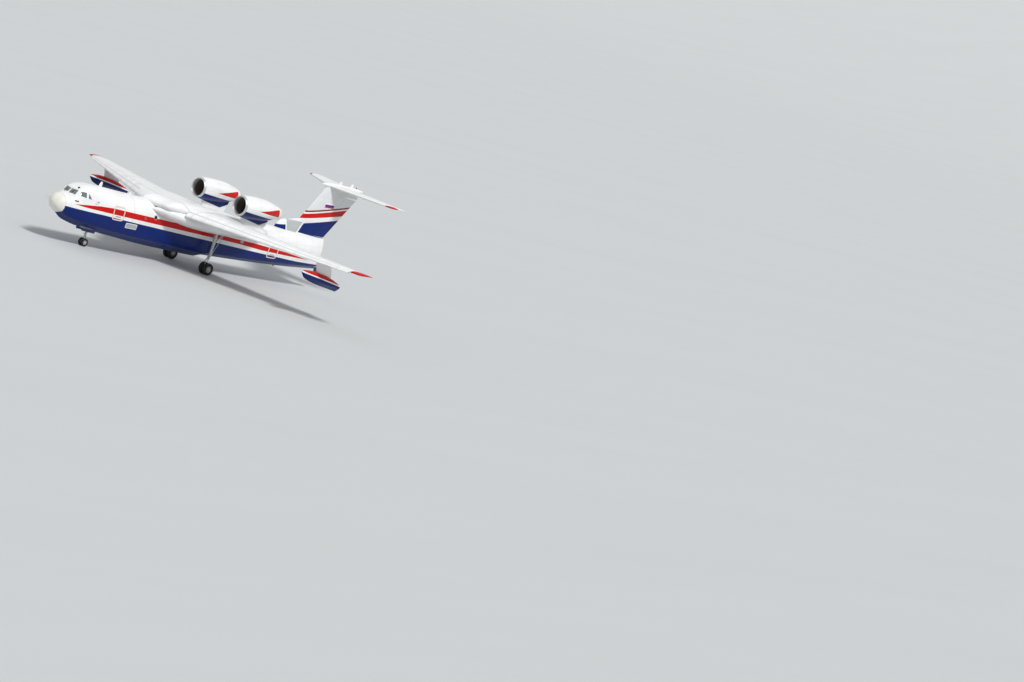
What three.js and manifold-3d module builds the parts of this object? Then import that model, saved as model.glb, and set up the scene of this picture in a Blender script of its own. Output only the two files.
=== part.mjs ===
// Twin-jet amphibious flying boat standing on its wheels.
// Millimetres. +X points forward to the nose, +Y to port, +Z up; z = 0 is the ground and
// x = 0 is half way along the length. Stations are measured aft from the nose tip and
// heights up from the keel at the step.
import * as THREE from "three";
import { mergeVertices } from "three/addons/utils/BufferGeometryUtils.js";
import Module from "manifold-3d";

const wasm = await Module();
wasm.setup();

// Driving dimensions
const LENGTH = 32050;
const SPAN = 32780;
const KEEL_HEIGHT = 900; // ground to the keel at the step
const STEP_STATION = 15800;
const STERN_STATION = 29150;
const RADOME_STATION = 650; // radome joint
const BOW_END = 7200; // joint between the hollow bow and the middle hull
const SKIN = 60; // whole wall of the bow, doors included
const SEAM = 0.3; // gap between pieces that touch
const AIR = 20; // gap round a moving surface
const DOOR_AIR = 8; // gap round a door

// Wing: swept leading edge, straight trailing edge, wider centre over the hull
const WING_SWEEP = Math.tan(THREE.MathUtils.degToRad(23.4));
const WING_LE = 10080; // on the centre line
const WING_TE = 15600;
const WING_TE_SLOPE = 0.192;
const WING_HEIGHT = 3640;
const WING_DIHEDRAL = 0.0075;
const WING_ROOT_Y = 3300; // joint between centre section and outer wings
const CENTRE_TE = 17100;
// How far the root fairing reaches ahead of that leading edge. Columns: side, reach.
const GLOVE = [[0, 1300], [1430, 1290], [1950, 1250], [2350, 800], [2700, 120], [2850, 0]];
const FLAP_SPAN = [3450, 10400];
const AILERON_SPAN = [10650, 15600];
const FLAP_SHARE = 0.7; // hinge line, share of the local chord
const AILERON_SHARE = 0.72;
const FLAP_PIVOT_DROP = 330; // track centre below the flap nose
const FLAP_END_AIR = 95; // its swept axis carries the inner end inboard
const CAMBER = 0.012;

// Tail
const FIN_LE = 25040; // at FIN_BASE
const FIN_LE_SLOPE = 0.62;
const FIN_TE = 29020;
const FIN_TE_SLOPE = 0.668;
const FIN_BASE = 3420;
const FIN_TOP = 7640;
const RUDDER_HEIGHTS = [3520, 6980];
const RUDDER_SHARE = 0.68;
const RUDDER_FOOT_AIR = 45;
const RUDDER_TOP_AIR = 90;
const TAIL_HEIGHT = 7720;
const TAIL_HALF = 5055;
const TAIL_LE = 27800;
const TAIL_LE_SLOPE = 0.52;
const TAIL_TE = 31340;
const TAIL_TE_SLOPE = 0.14;
const ELEVATOR_SPAN = [520, 4560];
const ELEVATOR_SHARE = 0.7;
const BULLET_HEIGHT = 7770;

// Landing gear
const NOSE_LEG_STATION = 4300;
const MAIN_LEG_STATION = 15440;
const TRACK = 4300;
const NOSE_TYRE = { radius: 310, width: 180, rim: 165, offset: 165 };
const MAIN_TYRE = { radius: 475, width: 300, rim: 245, offset: 235 };

// Engines
const ENGINE_Y = 2500;
const ENGINE_HEIGHT = 5020;
const INLET_STATION = 16450;
const NOZZLE_STATION = 20780;
const FAN_STATION = 17560;
const STRUT_STATION = 18400; // four struts hold the core in the duct
const DUCT_RADIUS = 690;

// Floats
const FLOAT_Y = 12800;

const xAt = (station) => LENGTH / 2 - station;
const zAt = (height) => KEEL_HEIGHT + height;
const at = (station, y, height) => new THREE.Vector3(xAt(station), y, zAt(height));
const UP = new THREE.Vector3(0, 0, 1);
const PORT = new THREE.Vector3(0, 1, 0);

// Paint and metal
const paint = (color, roughness = 0.35, metalness = 0) =>
  new THREE.MeshStandardMaterial({ color, roughness, metalness });
const WHITE = paint(0xe9e9e4);
const CREAM = paint(0xe4e0cc, 0.45);
const NAVY = paint(0x12255e);
const RED = paint(0xc02418);
const GLASS = paint(0x6f807c, 0.08);
const DARK = paint(0x2b2d30, 0.6);
const GREY = paint(0x8b9092, 0.5);
const RUBBER = paint(0x17181a, 0.85);
const STEEL = paint(0xa9adb0, 0.35, 0.9);
const ALLOY = paint(0xc9cccc, 0.3, 0.8);

// Solids

// A solid from flat lists of coordinates and corners, turned so that its faces point out.
function solidFrom(positions, corners) {
  const build = (triVerts) =>
    new wasm.Manifold(
      new wasm.Mesh({
        numProp: 3,
        vertProperties: new Float32Array(positions),
        triVerts: new Uint32Array(triVerts),
      }),
    );
  const made = build(corners);
  if (made.volume() > 0) return made;
  const turned = corners.slice();
  for (let i = 0; i < turned.length; i += 3)
    [turned[i + 1], turned[i + 2]] = [turned[i + 2], turned[i + 1]];
  return build(turned);
}

function solidOf(geometry, matrix = new THREE.Matrix4()) {
  const bare = geometry.clone().applyMatrix4(matrix);
  bare.deleteAttribute("normal");
  bare.deleteAttribute("uv");
  const merged = mergeVertices(bare, 1e-3);
  return solidFrom(
    Array.from(merged.attributes.position.array),
    Array.from(merged.index.array),
  );
}

// A solid through rings of points with one count. Point i of a ring faces its mirror from the
// other end of the list, and both end rings are closed by a ladder between those pairs.
function loft(rings) {
  const count = rings[0].length;
  const positions = rings.flatMap((ring) => ring.flatMap((p) => p.toArray()));
  const corners = [];
  for (let k = 0; k + 1 < rings.length; k++)
    for (let i = 0; i < count; i++) {
      const a = k * count + i;
      const b = k * count + ((i + 1) % count);
      corners.push(a, b, b + count, a, b + count, a + count);
    }
  const close = (base, first, second) => {
    for (let low = 0, high = count - 1; low < high; low++, high--) {
      const quad = [base + low, base + low + 1, base + high - 1, base + high];
      if (low + 1 < high) corners.push(quad[0], quad[first], quad[second]);
      if (low + 1 < high - 1)
        corners.push(...(first === 3 ? [quad[3], quad[2], quad[1]] : [quad[1], quad[2], quad[3]]));
    }
  };
  close(0, 3, 1);
  close((rings.length - 1) * count, 1, 3);
  return solidFrom(positions, corners);
}

// A round bar or cone between two points.
function rod(from, to, radius, sides = 16, endRadius = radius) {
  const along = to.clone().sub(from);
  const geometry = new THREE.CylinderGeometry(endRadius, radius, along.length(), sides);
  const turn = new THREE.Quaternion().setFromUnitVectors(PORT, along.clone().normalize());
  const middle = from.clone().add(to).multiplyScalar(0.5);
  return solidOf(geometry, new THREE.Matrix4().compose(middle, turn, new THREE.Vector3(1, 1, 1)));
}

// A box given by its lowest and highest corners.
function block(low, high) {
  const size = high.clone().sub(low);
  const middle = low.clone().add(high).multiplyScalar(0.5);
  const geometry = new THREE.BoxGeometry(size.x, size.y, size.z);
  return solidOf(geometry, new THREE.Matrix4().makeTranslation(middle));
}

// A box between stations, sides and heights.
const bay = (stations, sides, heights) =>
  block(at(stations[1], sides[0], heights[0]), at(stations[0], sides[1], heights[1]));

// The unit direction square to the line from a to b and to up, pointing forward.
function squareTo(a, b, up) {
  const forward = up.clone().cross(b.clone().sub(a)).normalize();
  return forward.x < 0 ? forward.negate() : forward;
}

// A box laid along the line from a to b: `ahead` and `behind` reach along forward, `half` along up.
function beamBox(a, b, up, { ahead, behind, half, spare = 0 }) {
  const along = b.clone().sub(a);
  const length = along.length() + 2 * spare;
  along.normalize();
  const forward = squareTo(a, b, up);
  const top = along.clone().cross(forward).normalize();
  const middle = a.clone().add(b).multiplyScalar(0.5);
  middle.addScaledVector(forward, (ahead - behind) / 2);
  const frame = new THREE.Matrix4().makeBasis(along, forward, top).setPosition(middle);
  return solidOf(new THREE.BoxGeometry(length, ahead + behind, 2 * half), frame);
}

// A solid turned about an axis parallel to X. Profile points are [station, radius].
function turned(profile, y, height, sides = 20) {
  const points = profile.map(([station, radius]) => new THREE.Vector2(radius, xAt(station)));
  const frame = new THREE.Matrix4()
    .makeTranslation(0, y, zAt(height))
    .multiply(new THREE.Matrix4().makeRotationZ(-Math.PI / 2));
  return solidOf(new THREE.LatheGeometry(points, sides), frame);
}

// Rows of a table as smooth curves of the first column, without overshoot.
function rowAt(table, s) {
  const last = table.length - 1;
  const k = Math.min(last - 1, Math.max(0, table.findIndex((row) => row[0] > s) - 1));
  const at0 = s >= table[last][0] ? last - 1 : k;
  const slope = (i, c) => (table[i + 1][c] - table[i][c]) / (table[i + 1][0] - table[i][0]);
  const tangent = (i, c) => {
    if (i === 0) return slope(0, c);
    if (i === last) return slope(last - 1, c);
    const [p, q] = [slope(i - 1, c), slope(i, c)];
    return p * q <= 0 ? 0 : (2 * p * q) / (p + q);
  };
  const width = table[at0 + 1][0] - table[at0][0];
  const t = (s - table[at0][0]) / width;
  return table[at0].map((value, c) => {
    const next = table[at0 + 1][c];
    const rise = t * t * (3 - 2 * t);
    const start = width * tangent(at0, c) * t * (1 - t) * (1 - t);
    const end = width * tangent(at0 + 1, c) * t * t * (1 - t);
    return value + (next - value) * rise + start - end;
  });
}

// Hull lines. Columns: station, keel height, chine half breadth, chine height,
// greatest half breadth, its height, crown height, roundness of the top (1 is an ellipse,
// less has fuller shoulders).
const FOREBODY = [
  [650, 1240, 560, 1450, 880, 2040, 2800, 1],
  [1250, 900, 790, 1230, 1090, 2110, 2950, 0.84],
  [1700, 775, 880, 1145, 1180, 2145, 3450, 0.7],
  [2200, 670, 960, 1080, 1260, 2180, 3730, 0.72],
  [3000, 545, 1050, 1000, 1350, 2230, 3840, 0.84],
  [4500, 400, 1140, 900, 1420, 2270, 3820, 0.97],
  [6900, 245, 1210, 790, 1430, 2290, 3740, 1],
  [10700, 60, 1260, 680, 1430, 2290, 3720, 1],
  [15800, 0, 1260, 560, 1430, 2290, 3720, 1],
];
const AFTERBODY = [
  [15800, 190, 1230, 620, 1430, 2290, 3720, 1],
  [19000, 290, 1140, 700, 1400, 2300, 3700, 1],
  [22000, 400, 1000, 790, 1290, 2300, 3650, 1],
  [25000, 550, 780, 900, 1050, 2280, 3560, 1],
  [27500, 730, 500, 1010, 720, 2250, 3470, 1],
  [29000, 870, 270, 1090, 420, 2230, 3420, 1],
  [29500, 920, 190, 1110, 300, 2220, 3400, 1],
];
const SIDE_STEPS = 3;
const TOP_STEPS = 7;

// One hull section, from the keel up the port side to the crown and down again.
function hullRing(table, station, grow = 0) {
  const [, keel, chineY, chineZ, beamY, beamZ, crown, round] = rowAt(table, station);
  const half = [[0, keel - grow]];
  half.push([chineY + grow, chineZ - grow * 0.5]);
  for (let i = 1; i <= SIDE_STEPS; i++) {
    const turn = (i / (SIDE_STEPS + 1)) * (Math.PI / 2);
    half.push([
      chineY + grow + (beamY - chineY) * Math.sin(turn),
      chineZ + (beamZ - chineZ) * (1 - Math.cos(turn)),
    ]);
  }
  for (let i = 0; i < TOP_STEPS; i++) {
    const turn = (i / TOP_STEPS) * (Math.PI / 2);
    half.push([
      (beamY + grow) * Math.cos(turn) ** round,
      beamZ + (crown + grow - beamZ) * Math.sin(turn) ** round,
    ]);
  }
  const port = half.map(([y, z]) => at(station, y, z));
  const crownPoint = at(station, 0, crown + grow);
  const starboard = half.slice(1).reverse().map(([y, z]) => at(station, -y, z));
  return [...port, crownPoint, ...starboard];
}

const hullSolid = (table, stations, grow = 0) =>
  loft(stations.map((station) => hullRing(table, station, grow)));

// Wing and tail sections

const AEROFOIL_STEPS = 8;
const BLUNT = 6; // half thickness left at a trailing edge

// Half thickness of a four-digit section of relative thickness 1 at share x of the chord.
const halfThickness = (x) =>
  5 * (0.2969 * Math.sqrt(x) - 0.126 * x - 0.3516 * x ** 2 + 0.2843 * x ** 3 - 0.1036 * x ** 4);

// A section from the trailing edge over the top to the leading edge and back below.
// place(station, across) puts a point of the section into the aircraft.
function aerofoilRing({ le, te, thickness, camber = 0, grow = 0 }, place) {
  const chord = te - le;
  const top = [];
  const below = [];
  for (let i = 0; i <= AEROFOIL_STEPS; i++) {
    const x = (1 + Math.cos((i / AEROFOIL_STEPS) * Math.PI)) / 2;
    const middle = 4 * camber * chord * x * (1 - x);
    const half = chord * thickness * halfThickness(x) + BLUNT * x + grow;
    const station = le + chord * x + grow * (2 * x - 1);
    top.push(place(station, middle + half));
    if (i < AEROFOIL_STEPS) below.unshift(place(station, middle - half));
  }
  top[AEROFOIL_STEPS] = place(le - grow, 0);
  return [...top, ...below];
}

const wingThickness = (y) => 0.145 - 0.03 * (Math.abs(y) / (SPAN / 2));
const wingEdges = (y) => ({
  le: WING_LE + WING_SWEEP * Math.abs(y),
  te: Math.abs(y) < WING_ROOT_Y ? CENTRE_TE : WING_TE + WING_TE_SLOPE * Math.abs(y),
});

function wingRing(y, { te, inset = 0, grow = 0, ahead = 0 } = {}) {
  const edges = wingEdges(y);
  const rear = te ?? edges.te;
  return aerofoilRing(
    {
      le: edges.le + inset - ahead,
      te: rear - inset * 0.5,
      thickness: wingThickness(y) - inset * 1e-4,
      camber: CAMBER,
      grow,
    },
    (station, across) =>
      at(station, y, WING_HEIGHT + WING_DIHEDRAL * Math.abs(y) + across),
  );
}

function outerWing(side, grow = 0) {
  const sections = [WING_ROOT_Y + SEAM, 9800, 16120]
    .map((y) => wingRing(side * y, { te: WING_TE + WING_TE_SLOPE * y, grow }));
  sections.push(wingRing(side * (16290 + grow), { inset: 130, grow }));
  sections.push(wingRing(side * (SPAN / 2 + grow), { inset: 420, grow }));
  return loft(sections);
}

const centreWing = (grow = 0) => {
  const port = [...GLOVE, [WING_ROOT_Y + grow, 0]];
  const starboard = port.slice(1).reverse().map(([y, ahead]) => [-y, ahead]);
  return loft(
    [...starboard, ...port].map(([y, ahead]) => wingRing(y, { te: CENTRE_TE, grow, ahead })),
  );
};

// Height and half thickness of the wing at a share of its chord.
function wingPoint(y, share) {
  const { le, te } = wingEdges(y);
  const chord = te - le;
  const rise = 4 * CAMBER * chord * share * (1 - share);
  return {
    point: at(le + chord * share, y, WING_HEIGHT + WING_DIHEDRAL * Math.abs(y) + rise),
    half: chord * wingThickness(y) * halfThickness(share) + BLUNT * share,
  };
}

const FIN_THICKNESS = 0.105;
const finEdges = (height) => ({
  le: FIN_LE + FIN_LE_SLOPE * (height - FIN_BASE),
  te: FIN_TE + FIN_TE_SLOPE * (height - FIN_BASE),
});
const finRing = (height, grow = 0) =>
  aerofoilRing({ ...finEdges(height), thickness: FIN_THICKNESS, grow }, (station, across) =>
    at(station, across, height),
  );

const TAIL_THICKNESS = 0.1;
const tailEdges = (y) => ({
  le: TAIL_LE + TAIL_LE_SLOPE * Math.abs(y),
  te: TAIL_TE + TAIL_TE_SLOPE * Math.abs(y),
});
const tailRing = (y, grow = 0, inset = 0) => {
  const { le, te } = tailEdges(y);
  return aerofoilRing(
    { le: le + inset, te: te - inset * 0.4, thickness: TAIL_THICKNESS, grow },
    (station, across) => at(station, y, TAIL_HEIGHT + across),
  );
};
const tailPlane = (grow = 0) =>
  loft([
    tailRing(-TAIL_HALF, grow, 260),
    tailRing(-4930, grow, 60),
    tailRing(-4700, grow),
    tailRing(0, grow),
    tailRing(4700, grow),
    tailRing(4930, grow, 60),
    tailRing(TAIL_HALF, grow, 260),
  ]);

// Hinges

const LUG_SIDES = 12;
const NOSE_SIDES = 14;

// Fixed lugs on a hinge line. The moving piece is notched round each lug, whose side faces
// lie a seam away from it; `root` is where each lug's arm ends, measured from the axis.
function hingeLugs(fixed, moving, a, b, { places, width, lug, notch, root }) {
  const along = b.clone().sub(a).normalize();
  for (const share of places) {
    const middle = a.clone().lerp(b, share);
    const reach = (half) => [
      middle.clone().addScaledVector(along, -half),
      middle.clone().addScaledVector(along, half),
    ];
    moving = moving.subtract(rod(...reach(width / 2), notch, LUG_SIDES));
    const [from, to] = reach(width / 2 - SEAM);
    const side = along.clone().cross(root).normalize().multiplyScalar(lug * 0.7);
    const arm = loft([armRing(from, root, side), armRing(to, root, side)]);
    fixed = fixed.add(rod(from, to, lug, LUG_SIDES)).add(arm);
  }
  return [fixed, moving];
}

// Four corners of a lug's arm at one of its side faces.
const armRing = (middle, root, side) => [
  middle.clone().add(side),
  middle.clone().add(root).add(side),
  middle.clone().add(root).sub(side),
  middle.clone().sub(side),
];

// Takes a control surface out of a panel along the hinge from a to b. The surface keeps the
// panel's skin behind the hinge and gets a round nose about it; ends are square to the hinge.
function controlSurface(panel, a, b, up, { nose, noseEnd, reach, places, spare = 12 }) {
  const ahead = Math.max(nose, noseEnd) + AIR;
  const half = 1200;
  const opening = beamBox(a, b, up, { ahead, behind: reach, half, spare });
  const rear = beamBox(a, b, up, { ahead: 0, behind: reach, half });
  const moving = panel.intersect(rear).add(rod(a, b, nose, NOSE_SIDES, noseEnd));
  return hingeLugs(panel.subtract(opening), moving, a, b, {
    places,
    width: 90,
    lug: Math.min(nose, noseEnd) * 0.6,
    notch: Math.max(nose, noseEnd) + 12,
    root: squareTo(a, b, up).multiplyScalar(ahead + 25),
  });
}

// Scene

const part = new THREE.Group();

function meshOf(solid, name, material) {
  const { vertProperties, triVerts, numProp } = solid.getMesh();
  const positions = new Float32Array((vertProperties.length / numProp) * 3);
  for (let i = 0; i < positions.length / 3; i++)
    positions.set(vertProperties.subarray(i * numProp, i * numProp + 3), i * 3);
  const geometry = new THREE.BufferGeometry()
    .setAttribute("position", new THREE.BufferAttribute(positions, 3))
    .setIndex(new THREE.BufferAttribute(triVerts, 1));
  geometry.computeVertexNormals();
  const mesh = new THREE.Mesh(geometry, material);
  mesh.name = name;
  return mesh;
}

const place = (solid, name, material, group = part) => group.add(meshOf(solid, name, material));

const SIDES = [
  { side: 1, hand: "left" },
  { side: -1, hand: "right" },
];

// Outer shapes that others are cut back from
const BOW_STATIONS = [
  RADOME_STATION, 950, 1250, 1450, 1700, 1950, 2200, 2600, 3000, 3700, 4500, 5700, BOW_END,
];
const MID_STATIONS = [BOW_END + SEAM, 8900, 10700, 13200, STEP_STATION];
const AFT_STATIONS = [
  STEP_STATION + SEAM, 17400, 19000, 20500, 22000, 23500, 25000, 26300, 27500, 29000,
  STERN_STATION,
];

// Bow: hollow cockpit and entry cabin above a solid floor
const COCKPIT_FLOOR = 1560;
const CABIN_STATIONS = [1450, 7000];
const DOOR_STATIONS = [5180, 6110];
const DOOR_HEIGHTS = [1870, 2760];
const REAR_DOOR_STATIONS = [22420, 23380];
const REAR_DOOR_HEIGHTS = [1300, 2050];
const REAR_CABIN_STATIONS = [17600, 19000, 20500, 22000, 23500, 25000, 26300];
const REAR_FLOOR = 1180;
const NOSE_BAY_STATIONS = [3350, 4950];
const NOSE_BAY_HALF = 330;
const NOSE_BAY_ROOF = 1380;

// A flat outline in stations and heights, carried across from one side to the other.
function sideCutter(outline, fromY, toY) {
  const shape = (y) => outline.map(([station, height]) => at(station, y, height));
  return loft([shape(fromY), shape(toY)]);
}
// A flat outline in sides and heights, carried aft from one station to another.
function frontCutter(outline, fromStation, toStation) {
  const shape = (station) => outline.map(([y, height]) => at(station, y, height));
  return loft([shape(fromStation), shape(toStation)]);
}

const shrink = (outline, by) => {
  const middle = [0, 1].map((c) => outline.reduce((sum, p) => sum + p[c], 0) / outline.length);
  return outline.map((p) => p.map((v, c) => v - Math.sign(v - middle[c]) * by));
};

const inner = loft(
  [CABIN_STATIONS[0], 1700, 1950, 2200, 2600, 3000, 3700, 4500, 5700, CABIN_STATIONS[1]].map((s) =>
    hullRing(FOREBODY, s, -SKIN),
  ),
).subtract(bay([0, 8000], [-2000, 2000], [-500, COCKPIT_FLOOR]));

// Window outlines. Windscreen: side, height. Side window: station, height.
const SCREEN = [[45, 2960], [45, 3290], [690, 3340], [730, 2940]];
const SIDE_WINDOW = [[1600, 2990], [1800, 3310], [2220, 3320], [2220, 2920]];
const glassSkin = hullSolid(FOREBODY, BOW_STATIONS, -12)
  .subtract(hullSolid(FOREBODY, BOW_STATIONS.map((s, i) => (i ? s : s - 50)), -34));

let bow = hullSolid(FOREBODY, BOW_STATIONS).subtract(inner);
const panes = [];
for (const { side, hand } of SIDES) {
  const screen = SCREEN.map(([y, height]) => [side * y, height]);
  const across = [side * 700, side * 1500];
  const cuts = [
    [`windscreen_${hand}`, (by) => frontCutter(shrink(screen, by), 1100, 1900)],
    [`side_window_${hand}`, (by) => sideCutter(shrink(SIDE_WINDOW, by), ...across)],
  ];
  for (const [name, cutter] of cuts) {
    bow = bow.subtract(cutter(0));
    panes.push([name, glassSkin.intersect(cutter(SEAM))]);
  }
}
for (const [name, solid] of panes) place(solid, name, GLASS);

// Entry door in the port side of the bow, hinged along its top edge
const doorCut = (stations, heights, air) =>
  bay(
    [stations[0] - air, stations[1] + air],
    [700, 1900],
    [heights[0] - air, heights[1] + air],
  );
const hullSideAt = (table, station, height) => {
  const [, , chineY, chineZ, beamY, beamZ, crown] = rowAt(table, station);
  if (height > beamZ) return beamY * Math.sqrt(1 - ((height - beamZ) / (crown - beamZ)) ** 2);
  const turn = Math.acos(1 - (height - chineZ) / (beamZ - chineZ));
  return chineY + (beamY - chineY) * Math.sin(turn);
};

function topHingedDoor(hull, shell, table, stations, heights) {
  const hingeHeight = heights[1] + DOOR_AIR / 2;
  const outside = Math.max(...stations.map((s) => hullSideAt(table, s, heights[1])));
  const a = at(stations[0] + 90, outside, hingeHeight);
  const b = at(stations[1] - 90, outside, hingeHeight);
  const door = shell.intersect(doorCut(stations, heights, 0));
  return hingeLugs(hull.subtract(doorCut(stations, heights, DOOR_AIR)), door, a, b, {
    places: [0.15, 0.85],
    width: 80,
    lug: 24,
    notch: 40,
    root: new THREE.Vector3(0, -75, 62),
  });
}

bow = bow.subtract(
  bay(NOSE_BAY_STATIONS, [-NOSE_BAY_HALF, NOSE_BAY_HALF], [0, NOSE_BAY_ROOF]),
);
let frontDoor;
[bow, frontDoor] = topHingedDoor(
  bow,
  hullSolid(FOREBODY, BOW_STATIONS).subtract(inner),
  FOREBODY,
  DOOR_STATIONS,
  DOOR_HEIGHTS,
);
place(bow, "hull_bow", WHITE);
place(frontDoor, "front_door", WHITE);

// Radome: a cap on the bow's front ring, between round and pointed
const RADOME_STEPS = 6;
const RADOME_MIDDLE = 2040;
const RADOME_BLUNT = 0.98; // less than 1 keeps the cap's rim short of square to the joint
const RADOME_POWER = 1.7; // of the pointed profile that is averaged with the round one
const radomeRings = Array.from({ length: RADOME_STEPS }, (_, i) => {
  const share = Math.sin(((i + 0.35) / (RADOME_STEPS - 0.65)) * (Math.PI / 2));
  const round = 1 - Math.sqrt(1 - RADOME_BLUNT * share * share);
  const depth = (RADOME_STATION * (round + share ** RADOME_POWER)) / 2;
  const joint = i === RADOME_STEPS - 1;
  const station = joint ? RADOME_STATION - SEAM : i && depth;
  const scale = joint ? 1 : share;
  return hullRing(FOREBODY, RADOME_STATION).map(
    (p) => at(station, p.y * scale, RADOME_MIDDLE + (p.z - zAt(RADOME_MIDDLE)) * scale),
  );
});
place(loft(radomeRings), "radome", CREAM);

// Cockpit fittings
const PANEL_STATION = 1900;
const SEAT_STATION = 2700;
const SEAT_Y = 480;
place(
  frontCutter(
    [[-880, 2150], [-880, 2640], [-520, 2830], [520, 2830], [880, 2640], [880, 2150]],
    PANEL_STATION - 160,
    PANEL_STATION,
  ).add(bay([PANEL_STATION - 150, PANEL_STATION - 10], [-220, 220], [COCKPIT_FLOOR + SEAM, 2200])),
  "instrument_panel",
  DARK,
);
const seat = () =>
  block(new THREE.Vector3(-250, -240, 0), new THREE.Vector3(230, 240, 90))
    .add(block(new THREE.Vector3(-120, -120, -330), new THREE.Vector3(120, 120, 20)))
    .add(block(new THREE.Vector3(-330, -230, 60), new THREE.Vector3(-220, 230, 780)));
for (const { side, hand } of SIDES) {
  const chair = new THREE.Group();
  chair.position.copy(at(SEAT_STATION, side * SEAT_Y, COCKPIT_FLOOR + 330 + SEAM));
  place(seat(), `seat_${hand}`, GREY, chair);
  part.add(chair);
}

// Middle and after hull, with the wing let into the crown
const wingHole = centreWing(SEAM);
place(hullSolid(FOREBODY, MID_STATIONS).subtract(wingHole), "hull_mid", NAVY);

let aft = hullSolid(AFTERBODY, AFT_STATIONS).subtract(wingHole);
const rearCabin = loft(
  REAR_CABIN_STATIONS.map((s) => hullRing(AFTERBODY, s, -SKIN)),
).subtract(bay([15000, 28000], [-2000, 2000], [-500, REAR_FLOOR]));
const aftShell = aft.subtract(rearCabin);
let rearDoor;
[aft, rearDoor] = topHingedDoor(
  aftShell, aftShell, AFTERBODY, REAR_DOOR_STATIONS, REAR_DOOR_HEIGHTS);

// Water rudder on the sternpost
const waterA = at(STERN_STATION + 75, 0, 640);
const waterB = at(STERN_STATION + 75, 0, 1560);
const waterBlade = loft(
  [640, 1560].map((height) =>
    [[0, -34], [620, -8], [620, 8], [0, 34]].map(([back, y]) =>
      at(STERN_STATION + 75 + back, y, height),
    ),
  ),
).add(rod(waterA, waterB, 34, 16));
let waterRudder;
[aft, waterRudder] = hingeLugs(aft, waterBlade, waterA, waterB, {
  places: [0.42, 0.88],
  width: 90,
  lug: 24,
  notch: 46,
  root: new THREE.Vector3(110, 0, 0),
});
place(aft, "hull_aft", NAVY);
place(rearDoor, "rear_door", RED);
place(waterRudder, "water_rudder", NAVY);

// Wings with flaps and ailerons
place(centreWing(), "wing_centre", WHITE);
const JACK_PAD = { station: 14300, y: 4300, radius: 110, height: 3310 };
const FLAP_ARMS = [0.12, 0.5, 0.88];

function surfaceHinge(span, share, side) {
  const [a, b] = span.map((y) => wingPoint(side * y, share));
  return { a: a.point, b: b.point, nose: a.half * 0.93, noseEnd: b.half * 0.93 };
}

for (const { side, hand } of SIDES) {
  let wing = outerWing(side);
  const pad = at(JACK_PAD.station, side * JACK_PAD.y, JACK_PAD.height);
  wing = wing.add(rod(pad, pad.clone().addScaledVector(UP, 290), JACK_PAD.radius, 20));

  const ail = surfaceHinge(AILERON_SPAN, AILERON_SHARE, side);
  let aileron;
  [wing, aileron] = controlSurface(wing, ail.a, ail.b, UP, {
    nose: ail.nose,
    noseEnd: ail.noseEnd,
    reach: 1500,
    places: [0.2, 0.8],
  });

  // Flap: a flat wall ahead of it, and arms that turn about a line below its nose. Each
  // moving arm lies beside a fixed one.
  const nose = surfaceHinge(FLAP_SPAN, FLAP_SHARE, side);
  const inside = side * (WING_ROOT_Y + FLAP_END_AIR);
  const streamwise = side > 0 ? [inside, SPAN] : [-SPAN, inside];
  const room = { behind: 2600, half: 1200 };
  const innerEnd = nose.a.clone().lerp(nose.b, -0.12);
  let flap = wing
    .intersect(beamBox(innerEnd, nose.b, UP, { ...room, ahead: 0 }))
    .intersect(bay([WING_LE, STERN_STATION], streamwise, [2500, 5000]));
  wing = wing.subtract(beamBox(innerEnd, nose.b, UP, { ...room, ahead: AIR, spare: 12 }));
  const along = nose.b.clone().sub(nose.a).normalize();
  const ahead = squareTo(nose.a, nose.b, UP);
  const lift = ahead.clone().cross(along).multiplyScalar(side);
  const corner = (p, d, forward, up) =>
    p.clone()
      .addScaledVector(along, d)
      .addScaledVector(ahead, forward)
      .addScaledVector(lift, up);
  for (const share of FLAP_ARMS) {
    const top = nose.a.clone().lerp(nose.b, share);
    const middle = top.clone().addScaledVector(lift, -FLAP_PIVOT_DROP);
    const moving = loft([-60, -20].map((d) => [
      corner(middle, d, -45, -45),
      corner(top, d, -240, 0),
      corner(top, d, -60, 0),
      corner(middle, d, 45, -45),
    ]));
    const fixed = loft([SEAM - 20, 30].map((d) => [
      corner(middle, d, -45, -45),
      corner(middle, d, -45, 20),
      corner(middle, d, AIR + 15, 60),
      corner(top, d, AIR + 25, -40),
      corner(top, d, 260, -40),
      corner(middle, d, 80, -45),
    ]));
    flap = flap.add(moving);
    wing = wing.add(fixed);
  }
  place(wing, `wing_${hand}`, WHITE);
  place(flap, `flap_${hand}`, WHITE);
  place(aileron, `aileron_${hand}`, WHITE);
}

// Fin, rudder, dorsal fairing, tailplane, elevators and bullet
const bulletProfile = (grow) => [
  [27050 - grow, 0],
  [27250, 90 + grow],
  [27900, 185 + grow],
  [29200, 230 + grow],
  [30800, 190 + grow],
  [31700, 95 + grow],
  [LENGTH + grow, 0],
];
const aftGrown = hullSolid(AFTERBODY, AFT_STATIONS, SEAM);
let fin = loft([FIN_BASE - 150, 5600, FIN_TOP].map((h) => finRing(h)))
  .subtract(aftGrown)
  .subtract(tailPlane(SEAM))
  .subtract(turned(bulletProfile(SEAM), 0, BULLET_HEIGHT, 20));

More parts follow.
